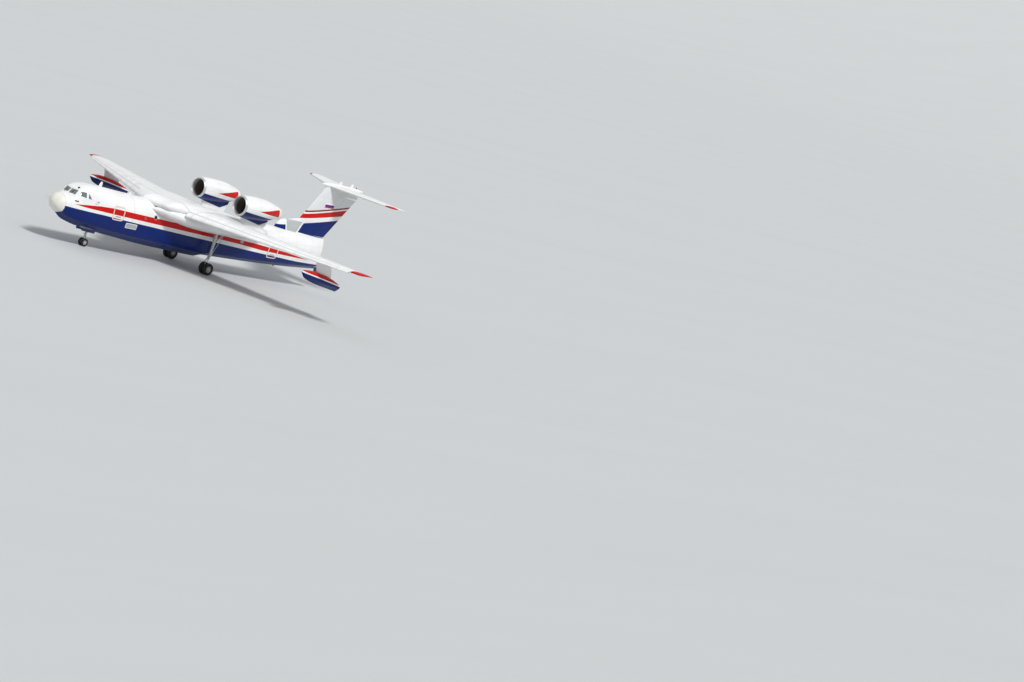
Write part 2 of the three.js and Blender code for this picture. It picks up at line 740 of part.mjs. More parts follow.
function finHinge(height) {
  const { le, te } = finEdges(height);
  return {
    point: at(le + (te - le) * RUDDER_SHARE, 0, height),
    half: (te - le) * FIN_THICKNESS * halfThickness(RUDDER_SHARE) + BLUNT * RUDDER_SHARE,
  };
}
const hingeLow = finHinge(RUDDER_HEIGHTS[0]);
const hingeHigh = finHinge(RUDDER_HEIGHTS[1]);
const hingeUnder = hingeLow.point.clone().lerp(hingeHigh.point, -0.4);
const hingeOver = hingeLow.point.clone().lerp(hingeHigh.point, 1.4);
const rudderNose = hingeLow.half * 0.93;
const rudderBand = (low, high) => bay([20000, 34000], [-900, 900], [low, high]);
const rudderShape = fin
  .intersect(beamBox(hingeUnder, hingeOver, PORT, { ahead: 0, behind: 2600, half: 900 }))
  .add(rod(hingeUnder, hingeOver, rudderNose, NOSE_SIDES));
let rudder = rudderShape.intersect(rudderBand(...RUDDER_HEIGHTS));
fin = fin.subtract(
  beamBox(hingeUnder, hingeOver, PORT, { ahead: rudderNose + AIR, behind: 2600, half: 900 })
    .intersect(
      rudderBand(RUDDER_HEIGHTS[0] - RUDDER_FOOT_AIR, RUDDER_HEIGHTS[1] + RUDDER_TOP_AIR),
    ),
);
[fin, rudder] = hingeLugs(fin, rudder, hingeLow.point, hingeHigh.point, {
  places: [0.12, 0.5, 0.88],
  width: 110,
  lug: rudderNose * 0.6,
  notch: rudderNose + 12,
  root: squareTo(hingeLow.point, hingeHigh.point, PORT).multiplyScalar(rudderNose + AIR + 30),
});
place(fin, "fin", WHITE);
place(rudder, "rudder", WHITE);

// Dorsal fairing. Columns: station, top height, half width at the top.
const DORSAL = [
  [23380, 3720, 60],
  [23620, 4080, 130],
  [23950, 4300, 165],
  [24900, 4470, 175],
  [25900, 4660, 175],
  [26300, 4700, 170],
];
const DORSAL_FOOT = 3200;
const DORSAL_SHAPE = [[1.5, 0], [1.15, 0.6], [0.8, 0.93]]; // shares of half width and height
const dorsal = loft(
  DORSAL.map(([station, top, half]) => {
    const wall = (side) =>
      DORSAL_SHAPE.map(([wide, up]) =>
        at(station, side * half * wide, DORSAL_FOOT + (top - DORSAL_FOOT) * up));
    return [
      at(station, 0, DORSAL_FOOT), ...wall(1), at(station, 0, top), ...wall(-1).reverse(),
    ];
  }),
)
  .subtract(aftGrown)
  .subtract(loft([2800, 5000, FIN_TOP].map((h) => finRing(h, SEAM))));
place(dorsal, "dorsal_fairing", WHITE);

let tail = tailPlane();
const elevators = [];
for (const { side, hand } of SIDES) {
  const [a, b] = ELEVATOR_SPAN.map((y) => {
    const { le, te } = tailEdges(y);
    return {
      point: at(le + (te - le) * ELEVATOR_SHARE, side * y, TAIL_HEIGHT),
      half: (te - le) * TAIL_THICKNESS * halfThickness(ELEVATOR_SHARE) + BLUNT * ELEVATOR_SHARE,
    };
  });
  let elevator;
  [tail, elevator] = controlSurface(tail, a.point, b.point, UP, {
    nose: a.half * 0.93,
    noseEnd: b.half * 0.93,
    reach: 2000,
    places: [0.15, 0.85],
  });
  elevators.push([elevator, `elevator_${hand}`]);
}
place(tail, "stabilizer", WHITE);
for (const [solid, name] of elevators) place(solid, name, WHITE);
place(
  turned(bulletProfile(0), 0, BULLET_HEIGHT, 20).subtract(tailPlane(SEAM)),
  "tail_bullet",
  WHITE,
);

// Gear pods beside the hull. Columns: station, side, height, half width, half height.
const POD = [
  [9000, 1050, 3200, 60, 45],
  [9800, 1450, 3180, 450, 300],
  [10800, 1870, 3140, 810, 510],
  [12200, 2200, 3090, 1030, 620],
  [14000, 2310, 3060, 1080, 650],
  [16000, 2310, 3050, 1040, 650],
  [18000, 2270, 3080, 840, 560],
  [19500, 2080, 3140, 560, 420],
  [21000, 1700, 3200, 220, 180],
];
const POD_SIDES = 16;
function podRing([station, y, height, wide, high], side, grow = 0) {
  return Array.from({ length: POD_SIDES }, (_, i) => {
    const turn = ((i + 0.5) / POD_SIDES) * 2 * Math.PI - Math.PI / 2;
    return at(
      station,
      side * (y + (wide + grow) * Math.cos(turn)),
      height + (high + grow) * Math.sin(turn),
    );
  });
}
const podSolid = (side, grow = 0) => loft(POD.map((row) => podRing(row, side, grow)));
const MAIN_BAY = { stations: [14950, 17300], half: 400, roof: 3080 };
const hullGrown = hullSolid(FOREBODY, [BOW_END, ...MID_STATIONS.slice(1)], SEAM)
  .add(hullSolid(AFTERBODY, [STEP_STATION - 10, ...AFT_STATIONS.slice(1, 6)], SEAM));
for (const { side, hand } of SIDES) {
  const well = [side * TRACK / 2 - MAIN_BAY.half, side * TRACK / 2 + MAIN_BAY.half];
  place(
    podSolid(side)
      .subtract(hullGrown)
      .subtract(wingHole)
      .subtract(outerWing(side, SEAM))
      .subtract(bay(MAIN_BAY.stations, well, [1500, MAIN_BAY.roof])),
    `gear_pod_${hand}`,
    WHITE,
  );
}

// Engines: cowling, core block with struts and cone, fan, and the pylon below.
// Cowling profile: station and radius, outside from lip to nozzle, then back along the duct.
const COWL = [
  [16500, 770], [16800, 850], [17500, 895], [18500, 875], [19400, 785], [20300, 590],
  [NOZZLE_STATION, 440], [NOZZLE_STATION, 405], [20300, 500], [19300, 640],
  [18200, 700], [17000, DUCT_RADIUS], [16650, 655], [INLET_STATION, 700], [16460, 745],
];
const CORE = [
  [17700, 0], [17700, 260], [17900, 420], [19000, 465], [20000, 290], [20800, 60], [20860, 0],
];
const FAN_BLADES = 16;
const OUTSIDE = 7; // rows of COWL on its outer face
const cowl = (side, grow) =>
  turned(
    [
      [INLET_STATION, 0],
      ...COWL.slice(0, OUTSIDE).map(([s, r]) => [s, r + grow]),
      [NOZZLE_STATION, 0],
    ],
    side * ENGINE_Y,
    ENGINE_HEIGHT,
  );
// The cowling's own ring, closed, with each face moved out by `grow`.
const cowlRing = (side, grow) =>
  turned(
    [...COWL, COWL[0]]
      .map(([s, r], i) => [s, i >= OUTSIDE && i < COWL.length ? r - grow : r + grow])
      .reverse(),
    side * ENGINE_Y,
    ENGINE_HEIGHT,
  );

function fanSolid() {
  const hubProfile = [[0, -140], [235, -140], [235, 0], [190, 120], [110, 215], [0, 260]]
    .map(([r, x]) => new THREE.Vector2(r, x));
  let fan = solidOf(new THREE.LatheGeometry(hubProfile, 16));
  const tip = DUCT_RADIUS - 14;
  for (let i = 0; i < FAN_BLADES; i++) {
    const turn = new THREE.Matrix4().makeRotationY((i / FAN_BLADES) * 2 * Math.PI);
    const blade = loft([[200, 25], [tip, 52]].map(([r, pitch]) => {
      const lean = THREE.MathUtils.degToRad(pitch);
      return [[-70, -7], [70, -7], [70, 7], [-70, 7]].map(([u, v]) =>
        new THREE.Vector3(
          r,
          u * Math.cos(lean) - v * Math.sin(lean) - 30,
          u * Math.sin(lean) + v * Math.cos(lean),
        ).applyMatrix4(turn));
    }));
    fan = fan.add(blade);
  }
  return fan;
}

for (const { side, hand } of SIDES) {
  const y = side * ENGINE_Y;
  place(cowlRing(side, 0), `nacelle_${hand}`, WHITE);
  const strut = (dy, dz) =>
    rod(
      at(STRUT_STATION, y - dy * DUCT_RADIUS, ENGINE_HEIGHT - dz * DUCT_RADIUS),
      at(STRUT_STATION, y + dy * DUCT_RADIUS, ENGINE_HEIGHT + dz * DUCT_RADIUS),
      60,
      8,
    );
  place(
    turned(CORE, y, ENGINE_HEIGHT)
      .add(strut(1, 0))
      .add(strut(0, 1))
      .subtract(cowlRing(side, SEAM)),
    `engine_${hand}`,
    STEEL,
  );
  const rotor = new THREE.Group();
  rotor.position.copy(at(FAN_STATION - SEAM, y, ENGINE_HEIGHT));
  rotor.rotation.z = -Math.PI / 2;
  place(fanSolid(), `fan_${hand}`, ALLOY, rotor);
  part.add(rotor);

  // Pylon. Columns: height, leading station, trailing station, half width.
  const pylon = loft(
    [[3250, 17600, 19700, 190], [3900, 17200, 20000, 200], [4700, 16950, 20200, 200]].map(
      ([height, le, te, half]) =>
        aerofoilRing({ le, te, thickness: half / 1500 }, (station, across) =>
          at(station, y - side * 120 + across * 0.75, height)),
    ),
  )
    .subtract(podSolid(side, SEAM))
    .subtract(cowl(side, SEAM))
    .subtract(hullGrown)
    .subtract(wingHole);
  place(pylon, `engine_pylon_${hand}`, NAVY);
}

// Floats and their struts. Columns: station, half breadth, deck, chine, keel.
const FLOAT = [
  [14720, 60, 2640, 2580, 2520],
  [15080, 260, 2750, 2420, 2180],
  [15800, 400, 2790, 2250, 1950],
  [16870, 450, 2710, 2080, 1780],
  [17940, 430, 2490, 1980, 1660],
  [18820, 360, 2190, 1880, 1560],
];
// Strut. Columns: height, leading station, trailing station, which ends ahead of the aileron.
const FLOAT_STRUT = [[2400, 16350, 17950], [3100, 16080, 17760], [3680, 15850, 17210]];
for (const { side, hand } of SIDES) {
  const floatRing = ([station, half, deck, chine, keel]) => {
    const shoulder = deck - (deck - chine) * 0.35;
    const rows = [[0, keel], [half * 0.92, chine], [half, (chine + shoulder) / 2],
      [half * 0.95, shoulder], [half * 0.62, deck - (deck - chine) * 0.08]];
    return [
      ...rows.map(([y, z]) => at(station, side * (FLOAT_Y + y), z)),
      at(station, side * FLOAT_Y, deck),
      ...rows.slice(1).reverse().map(([y, z]) => at(station, side * (FLOAT_Y - y), z)),
    ];
  };
  place(loft(FLOAT.map(floatRing)), `float_${hand}`, RED);
  const grown = loft(FLOAT.map(([s, half, deck, chine, keel]) =>
    floatRing([s, half + SEAM, deck + SEAM, chine, keel])));
  const strut = loft(
    FLOAT_STRUT.map(([height, le, te]) =>
      aerofoilRing({ le, te, thickness: 0.12 }, (station, across) =>
        at(station, side * FLOAT_Y + across, height)),
    ),
  )
    .subtract(grown)
    .subtract(outerWing(side, SEAM));
  place(strut, `float_pylon_${hand}`, WHITE);
}

// Landing gear

const WHEEL_SIDES = 20;

// A polygon of this corner radius has its flats at the given radius. Wheels stand on a flat,
// with an axle's corners facing the flats of its bore.
const roundFlats = (radius) => radius / Math.cos(Math.PI / WHEEL_SIDES);

// A wheel about the Y axis: tyre ring and rim with its bore, facing +Y outwards.
function tyreSolid({ radius, width, rim }) {
  const half = width / 2;
  const tread = roundFlats(radius);
  const profile = [
    [rim + 2, -half * 0.72], [radius * 0.82, -half], [tread, -half * 0.6],
    [tread, half * 0.6], [radius * 0.82, half], [rim + 2, half * 0.72],
  ].map(([r, y]) => new THREE.Vector2(r, y));
  return solidOf(new THREE.LatheGeometry([...profile, profile[0]], WHEEL_SIDES));
}
function rimSolid({ width, rim }, bore) {
  const half = width / 2;
  const profile = [
    [bore, -half * 0.75], [rim * 0.55, -half * 0.75], [rim * 0.9, -half * 0.35],
    [rim + 1.7, -half * 0.7], [rim + 1.7, half * 0.7], [rim * 0.9, half * 0.35],
    [rim * 0.55, half * 0.75], [bore, half * 0.75],
  ].map(([r, y]) => new THREE.Vector2(r, y));
  return solidOf(new THREE.LatheGeometry([...profile, profile[0]], WHEEL_SIDES));
}

function wheelPair(size, axle, station, y, names) {
  const pair = new THREE.Group();
  pair.position.set(xAt(station), y, size.radius);
  names.forEach(([tyreName, rimName], i) => {
    const wheel = new THREE.Group();
    wheel.position.y = (i ? -1 : 1) * size.offset;
    wheel.rotation.y = Math.PI / WHEEL_SIDES;
    place(tyreSolid(size), tyreName, RUBBER, wheel);
    place(rimSolid(size, roundFlats(axle + SEAM)), rimName, ALLOY, wheel);
    pair.add(wheel);
  });
  part.add(pair);
}

// Nose gear: fixed leg in the bay, and the steered fork with its axle below it
const NOSE_AXLE = 34;
const LEG_FOOT = 780; // height of the swivel above the ground
const noseX = xAt(NOSE_LEG_STATION);
const point = (x, y, z) => new THREE.Vector3(x, y, z);
place(
  rod(point(noseX, 0, LEG_FOOT), point(noseX, 0, zAt(NOSE_BAY_ROOF) - SEAM), 85, 20)
    .add(rod(point(noseX, 0, 1100), point(noseX - 560, 0, zAt(NOSE_BAY_ROOF) - 40), 45, 12)),
  "nose_leg",
  STEEL,
);
const towLug = block(point(noseX + 60, -40, 420), point(noseX + 170, 40, 500));
place(
  rod(point(noseX, 0, NOSE_TYRE.radius - 55), point(noseX, 0, LEG_FOOT - SEAM), 60, 20)
    .add(rod(
      point(noseX, -NOSE_TYRE.offset - 85, NOSE_TYRE.radius),
      point(noseX, NOSE_TYRE.offset + 85, NOSE_TYRE.radius), NOSE_AXLE, WHEEL_SIDES))
    .add(block(point(noseX, -40, 400), point(noseX + 80, 40, 520)))
    .add(towLug),
  "nose_fork",
  STEEL,
);
wheelPair(NOSE_TYRE, NOSE_AXLE, NOSE_LEG_STATION, 0, [
  ["nose_tyre_left", "nose_rim_left"],
  ["nose_tyre_right", "nose_rim_right"],
]);
for (const { side, hand } of SIDES) {
  const edge = side * (NOSE_BAY_HALF - SEAM);
  const inside = side * (NOSE_BAY_HALF - 30);
  const door = [[3450, 860], [3450, 300], [4850, 230], [4850, 860]];
  place(
    sideCutter(door, Math.min(edge, inside), Math.max(edge, inside)),
    `nose_door_${hand}`,
    NAVY,
  );
}

// Main gear: leg in its bay with a drag strut, carrying the axle
const MAIN_AXLE = 58;
for (const { side, hand } of SIDES) {
  const x = xAt(MAIN_LEG_STATION);
  const y = (side * TRACK) / 2;
  const roof = zAt(MAIN_BAY.roof) - SEAM;
  place(
    rod(point(x, y, 1500), point(x, y, roof), 130, 20)
      .add(rod(point(x, y, MAIN_TYRE.radius - 90), point(x, y, 1520), 78, 20))
      .add(rod(
        point(x, y - MAIN_TYRE.offset - 140, MAIN_TYRE.radius),
        point(x, y + MAIN_TYRE.offset + 140, MAIN_TYRE.radius), MAIN_AXLE, WHEEL_SIDES))
      .add(rod(point(x, y, 1600), point(x - 1150, y, roof - 50), 60, 12)),
    `main_leg_${hand}`,
    STEEL,
  );
  wheelPair(MAIN_TYRE, MAIN_AXLE, MAIN_LEG_STATION, y, [
    [`main_tyre_${hand}_port`, `main_rim_${hand}_port`],
    [`main_tyre_${hand}_starboard`, `main_rim_${hand}_starboard`],
  ]);
}

export default part;
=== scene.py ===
from functools import reduce

import bpy
import numpy as np
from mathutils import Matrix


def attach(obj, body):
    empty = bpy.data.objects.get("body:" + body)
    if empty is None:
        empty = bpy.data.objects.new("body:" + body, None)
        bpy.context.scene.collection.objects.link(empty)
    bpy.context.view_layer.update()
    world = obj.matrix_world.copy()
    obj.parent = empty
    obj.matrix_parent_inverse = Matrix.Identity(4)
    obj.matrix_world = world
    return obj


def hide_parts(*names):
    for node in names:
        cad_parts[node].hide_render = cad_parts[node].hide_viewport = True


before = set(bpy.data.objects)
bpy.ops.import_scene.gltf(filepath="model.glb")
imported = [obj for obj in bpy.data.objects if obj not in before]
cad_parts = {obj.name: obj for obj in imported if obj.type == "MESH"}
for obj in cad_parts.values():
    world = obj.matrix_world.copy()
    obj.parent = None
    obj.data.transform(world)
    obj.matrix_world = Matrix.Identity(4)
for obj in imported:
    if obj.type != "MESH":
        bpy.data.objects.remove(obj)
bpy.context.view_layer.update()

# Flying boat on its wheels. Sizes are in metres. A place on the aircraft is given as a
# station (metres aft of the nose), a side (metres to port) and a height above the keel.

NOSE_X = 16.025  # ahead of the frame's origin
KEEL_Z = 0.9  # above the ground
QUARTER = np.pi / 2
SIDES = ((1, "left"), (-1, "right"))


def place(station, side, height):
    """Point of the frame: x = 16.025 - station, y = side, z = height + 0.9."""
    station, side, height = np.broadcast_arrays(station, side, height)
    return np.stack([NOSE_X - station, side, height + KEEL_Z], axis=-1).astype(float)


# Surfaces: a shape is an array of points and an array of four-cornered faces

def cells(rows, columns, wrap_rows=False, wrap_columns=False, keep=None):
    """Faces of a grid whose point (r, c) has the number r * columns + c."""
    r, c = np.meshgrid(
        np.arange(rows - (not wrap_rows)), np.arange(columns - (not wrap_columns)),
        indexing="ij")
    if keep is not None:
        r, c = r[keep], c[keep]
    r, c = r.ravel(), c.ravel()
    r_next, c_next = (r + 1) % rows, (c + 1) % columns
    return np.stack(
        [r * columns + c, r_next * columns + c, r_next * columns + c_next, r * columns + c_next],
        axis=1)


def turned_round(shape):
    """The shape with the corners of its faces the other way round."""
    return shape[0], shape[1][:, ::-1]


def outward(shape):
    """The shape with its faces away from its middle: the sum of (face middle - shape
    middle) . (face normal x area) is made positive."""
    points, faces = shape
    a, b, c, d = (points[faces[:, i]] for i in range(4))
    arm = (a + b + c + d) / 4 - points[faces].mean(axis=(0, 1))
    return shape if np.sum(arm * np.cross(c - a, d - b)) > 0 else turned_round(shape)


def sheet(points, keep=None, wrap_rows=False, wrap_columns=False):
    """An open surface through a grid of points."""
    rows, columns = points.shape[:2]
    return outward(
        (points.reshape(-1, 3), cells(rows, columns, wrap_rows, wrap_columns, keep)))


def to_middle(ring):
    """The middle of a ring, as many times over as the ring has points."""
    return np.broadcast_to(ring.mean(axis=0), ring.shape)


def body(rings):
    """A closed surface: rings joined in turn, and each end ring joined to its own middle."""
    rings = np.asarray(rings, float)
    ends = to_middle(rings[0])[None], to_middle(rings[-1])[None]
    return sheet(np.concatenate([ends[0], rings, ends[1]]), wrap_columns=True)


def mirrored(shape):
    """The shape on the other side: side becomes -side, and faces turn round with it."""
    return shape[0] * [1, -1, 1], shape[1][:, ::-1]


def on_side(shapes, way):
    """The shapes as they are for port, and mirrored for starboard."""
    return shapes if way > 0 else [mirrored(shape) for shape in shapes]


def welded(shape):
    """Points closer than a twentieth of a millimetre become one."""
    points, faces = shape
    _, first, back = np.unique(
        np.round(points * 2e4).astype(np.int64), axis=0, return_index=True, return_inverse=True)
    return points[first], back.reshape(-1)[faces]


def mesh_of(name, shapes, sharp):
    """A mesh of all the shapes, without faces that have fewer than three different corners.
    Edges that bend by more than `sharp` degrees are sharp."""
    points, faces, start = [], [], 0
    for shape in map(welded, shapes):
        points.append(shape[0])
        faces.append(shape[1] + start)
        start += len(shape[0])
    points, faces = np.concatenate(points), np.concatenate(faces)
    corner = faces != np.roll(faces, 1, axis=1)
    whole = corner.sum(axis=1) >= 3
    faces, corner = faces[whole], corner[whole]
    counts = corner.sum(axis=1)
    used, corners = np.unique(faces[corner], return_inverse=True)
    points = points[used]
    mesh = bpy.data.meshes.new(name)
    mesh.vertices.add(len(points))
    mesh.vertices.foreach_set("co", points.ravel())
    mesh.loops.add(len(corners))
    mesh.loops.foreach_set("vertex_index", corners.reshape(-1))
    mesh.polygons.add(len(counts))
    mesh.polygons.foreach_set("loop_start", np.cumsum(counts) - counts)
    mesh.update(calc_edges=True)
    mesh.validate()
    mesh.shade_smooth()
    mesh.set_sharp_from_angle(angle=np.radians(sharp))
    return mesh


def piece(name, shapes, material, body_name="airframe", own=False, sharp=35,
          wall=0, lining=None):
    """One object from several shapes, shown in place of the CAD node of its `own` name.
    `wall` thickens an open skin towards its inside."""
    item = bpy.data.objects.new(name, mesh_of(name, shapes, sharp))
    bpy.context.scene.collection.objects.link(item)
    item.data.materials.append(material)
    if wall:
        solidify = item.modifiers.new("wall", "SOLIDIFY")
        solidify.thickness = wall
        solidify.offset = -1
        if lining:
            item.data.materials.append(lining)
            solidify.material_offset = 1
            solidify.material_offset_rim = 0
    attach(item, body_name)
    if own:
        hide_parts(name)


# Shapes used by many pieces

def smooth_rows(table, at):
    """Rows between the rows of a table: a cubic in each gap, whose slope at a row is the
    harmonic mean of the slopes on both sides of it, or 0 where they differ in sign."""
    table = np.asarray(table, float)
    xs, ys = table[:, 0], table[:, 1:]
    slope = np.diff(ys, axis=0) / np.diff(xs)[:, None]
    product = slope[:-1] * slope[1:]
    total = slope[:-1] + slope[1:]
    middle = np.where(product > 0, 2 * product / np.where(total == 0, 1, total), 0)
    tangent = np.concatenate([slope[:1], middle, slope[-1:]])
    at = np.asarray(at, float)
    flat = np.clip(at.ravel(), xs[0], xs[-1])
    k = np.clip(np.searchsorted(xs, flat, side="right") - 1, 0, len(xs) - 2)
    width = (xs[k + 1] - xs[k])[:, None]
    t = (flat - xs[k])[:, None] / width
    value = (ys[k] + (ys[k + 1] - ys[k]) * t * t * (3 - 2 * t)
             + width * tangent[k] * t * (1 - t) ** 2 - width * tangent[k + 1] * t * t * (1 - t))
    return value.reshape(at.shape + (ys.shape[1],))


def curve_through(points, steps=8):
    """Catmull-Rom curve: in each gap a cubic whose slope at a point is half the way from
    the point before it to the point after it."""
    p = np.asarray(points, float)
    ends = np.vstack([2 * p[0] - p[1], p, 2 * p[-1] - p[-2]])
    t = np.linspace(0, 1, steps, endpoint=False)[None, :, None]
    a, b, c, d = (ends[i:len(p) - 1 + i][:, None, :] for i in range(4))
    gap = (2 * b + (c - a) * t + (2 * a - 5 * b + 4 * c - d) * t ** 2
           + (3 * b - a - 3 * c + d) * t ** 3) / 2
    return np.vstack([gap.reshape(-1, p.shape[1]), p[-1:]])


UP, FORWARD = np.array([0, 0, 1.0]), np.array([1.0, 0, 0])


def square_to(path, up):
    """Unit vectors across a path and square to both, for each of its points."""
    along = np.gradient(path, axis=0)
    along /= np.linalg.norm(along, axis=1, keepdims=True)
    across = np.cross(up, along)
    across /= np.linalg.norm(across, axis=1, keepdims=True)
    return across[:, None], np.cross(along, across)[:, None]


def tube(path, radius, sides=16):
    """A round bar of changing radius r along a path: path + r (cos t across + sin t up)."""
    path = np.asarray(path, float)
    rise = np.gradient(path, axis=0)
    steep = (np.abs(rise[:, 2]) / np.linalg.norm(rise, axis=1)).mean() > 0.8
    across, lift = square_to(path, FORWARD if steep else UP)
    turn = np.linspace(0, 2 * np.pi, sides, endpoint=False)[None, :, None]
    radius = np.broadcast_to(radius, len(path))[:, None, None]
    return body(path[:, None] + radius * (np.cos(turn) * across + np.sin(turn) * lift))


def rod(a, b, radius, end_radius=None, edge=0.006, sides=20):
    """A straight bar with both ends chamfered by `edge`."""
    a, b = np.asarray(a, float), np.asarray(b, float)
    end_radius = radius if end_radius is None else end_radius
    step = (b - a) / np.linalg.norm(b - a) * edge
    return tube([a, a + step, b - step, b],
                [radius - edge, radius, end_radius, end_radius - edge], sides)


def turned_x(profile, side, height, closed=False, sides=72):
    """A profile of stations and radii r turned about a fore and aft axis:
    side + r cos t, height + r sin t."""
    station, radius = np.asarray(profile, float).T[:, :, None]
    turn = np.linspace(0, 2 * np.pi, sides, endpoint=False)
    return sheet(
        place(station, side + radius * np.cos(turn), height + radius * np.sin(turn)),
        wrap_columns=True, wrap_rows=closed)


def turned_y(profile, centre, closed=False, sides=64):
    """A profile of offsets and radii r turned about an athwartship axis:
    centre + (r cos t, offset, r sin t)."""
    offset, radius = np.asarray(profile, float).T[:, :, None]
    turn = np.linspace(0, 2 * np.pi, sides, endpoint=False)
    points = np.stack(np.broadcast_arrays(
        centre[0] + radius * np.cos(turn), centre[1] + offset,
        centre[2] + radius * np.sin(turn)), axis=-1)
    return sheet(points, wrap_columns=True, wrap_rows=closed)


def rounded(corners, radius, steps=5):
    """An outline whose corner p becomes the curve (1-t)^2 a + 2t(1-t) p + t^2 b between the
    points a and b that lie `radius` before and after it."""
    p = np.asarray(corners, float)
    before, after = np.roll(p, 1, axis=0) - p, np.roll(p, -1, axis=0) - p
    a = p + before / np.linalg.norm(before, axis=1, keepdims=True) * radius
    b = p + after / np.linalg.norm(after, axis=1, keepdims=True) * radius
    t = np.linspace(0, 1, steps)[None, :, None]
    arc = (1 - t) ** 2 * a[:, None] + 2 * t * (1 - t) * p[:, None] + t ** 2 * b[:, None]
    return arc.reshape(-1, 2)


def way_round(outline):
    """1 for an outline that runs anticlockwise and -1 for the other way: its area's sign."""
    x, y = outline.T
    return np.sign(np.sum(x * np.roll(y, -1) - y * np.roll(x, -1)))


def grown(outline, by):
    """The outline moved outwards along its own normals."""
    along = np.roll(outline, -1, axis=0) - np.roll(outline, 1, axis=0)
    normal = np.stack([along[:, 1], -along[:, 0]], axis=1)
    normal /= np.linalg.norm(normal, axis=1, keepdims=True)
    return outline + normal * by * way_round(outline)


def finer(outline, step=0.05):
    """The outline with more points along its straight sides, no further apart than `step`."""
    closed = np.vstack([outline, outline[:1]])
    length = np.concatenate([[0], np.cumsum(np.linalg.norm(np.diff(closed, axis=0), axis=1))])
    at = np.union1d(length, np.arange(0, length[-1], step))[:-1]
    return np.column_stack([np.interp(at, length, closed[:, i]) for i in (0, 1)])


def within(outline, first, second, spare=0.0):
    """True inside a convex outline: the least distance from its edges is above -spare."""
    p = np.asarray(outline, float)
    edge = np.roll(p, -1, axis=0) - p
    edge /= np.linalg.norm(edge, axis=1, keepdims=True)
    depth = [(edge[i, 0] * (second - p[i, 1]) - edge[i, 1] * (first - p[i, 0]))
             for i in range(len(p))]
    return np.min(np.array(depth) * way_round(p), axis=0) > -spare


def patch(outline, on, lift, steps=6, thick=0.006):
    """A thin plate over an outline: its middle + share x (outline - middle), put on a
    surface by on(first, second, lift), and the same again `thick` below."""
    share = np.linspace(0, 1, steps)[:, None, None]
    middle = outline.mean(axis=0)
    flat = middle + share * (outline - middle)
    top = on(flat[..., 0], flat[..., 1], lift)
    below = on(flat[..., 0], flat[..., 1], lift - thick)
    return sheet(np.concatenate([top, below[::-1]]), wrap_columns=True)


def strip(outline, on, inner, outer, lift, thick=0.02):
    """A raised band beside an outline, from `inner` to `outer` of it."""
    soft = min(lift, (outer - inner) / 3)
    profile = [(outer, -thick), (outer, lift - soft), (outer - soft, lift), (inner + soft, lift),
               (inner, lift - soft), (inner, -thick)]
    rows = [on(*grown(outline, by).T, up) for by, up in profile]
    return sheet(np.array(rows), wrap_rows=True, wrap_columns=True)


def slab(low, high, edge=0.01, corner=0.03):
    """A block: a rounded rectangle carried up, drawn in by `edge` at the top and bottom."""
    low, high = np.minimum(low, high), np.maximum(low, high)
    outline = rounded(
        [(low[0], low[1]), (high[0], low[1]), (high[0], high[1]), (low[0], high[1])], corner)
    levels = [(low[2], -edge), (low[2] + edge, 0), (high[2] - edge, 0), (high[2], -edge)]
    rings = [np.column_stack([grown(outline, by), np.full(len(outline), z)])
             for z, by in levels]
    return body(rings)


def beam(path, wide, high, edge=0.25):
    """A bar of flattened section along a path: path + w/2 |cos t|^2e across +
    h/2 |sin t|^2e up, with the signs of cos t and sin t."""
    path = np.asarray(path, float)
    across, lift = square_to(path, UP)
    turn = np.linspace(0, 2 * np.pi, 24, endpoint=False)[None, :, None]
    flat_cos, flat_sin = (np.sign(wave) * np.abs(wave) ** (2 * edge)
                          for wave in (np.cos(turn), np.sin(turn)))
    wide, high = (np.broadcast_to(size, len(path))[:, None, None] / 2 for size in (wide, high))
    return body(path[:, None] + flat_cos * wide * across + flat_sin * high * lift)


# Camera at the photograph's viewing angle

camera = bpy.data.objects.new("camera", bpy.data.cameras.new("camera"))
camera.data.lens = 135.6783
camera.data.clip_end = 6000
camera.location = (210.1588, 214.1721, 37.1684)
camera.rotation_mode = "QUATERNION"
camera.rotation_quaternion = (0.19900029, 0.37086293, 0.55207421, 0.71977333)
bpy.context.scene.collection.objects.link(camera)
bpy.context.scene.camera = camera

for label, turn, energy, spread in (
        ("key", (0.62, 0.30, 0.2), 2.5, 12),
        ("fill", (-0.95, 0.35, 0.0), 0.4, 60)):
    lamp = bpy.data.objects.new(label, bpy.data.lights.new(label, "SUN"))
    lamp.data.energy = energy
    lamp.data.angle = np.radians(spread)
    lamp.rotation_euler = (-turn[0], turn[1], turn[2])
    bpy.context.scene.collection.objects.link(lamp)

# Edges of the wing and the tailplane: a station amidships, and its slope over the side
SWEEP = np.tan(np.radians(23.4))
WING_FRONT, WING_REAR, WING_REAR_SLOPE = 10.08, 15.6, 0.192
TAIL_FRONT, TAIL_SLOPE, TAIL_REAR, TAIL_REAR_SLOPE = 27.8, 0.52, 31.34, 0.14
ENGINE_SIDE, ENGINE_HEIGHT = 2.5, 5.02

# Materials: nodes are added by name, and a value may be a number, a colour or a socket

WHITE = (0.87, 0.87, 0.86, 1)
GREY_WHITE = (0.74, 0.75, 0.75, 1)
NAVY = (0.001, 0.016, 0.145, 1)
BLUE = (0.01, 0.04, 0.30, 1)
RED = (0.58, 0.004, 0.002, 1)
DARK_RED = (0.20, 0.008, 0.010, 1)
CREAM = (0.84, 0.82, 0.74, 1)
LIGHT_GREY = (0.48, 0.49, 0.50, 1)


def add(tree, kind, inputs=(), **settings):
    """A shader node with its settings; inputs go by name or number."""
    node = tree.nodes.new("ShaderNode" + kind)
    for name, value in settings.items():
        setattr(node, name, value)
    for key, value in dict(inputs).items():
        plug(tree, node.inputs[key], value)
    return node


def plug(tree, socket, value):
    """Gives an input a value, or links another node's socket to it."""
    if isinstance(value, bpy.types.NodeSocket):
        tree.links.new(value, socket)
    else:
        socket.default_value = value


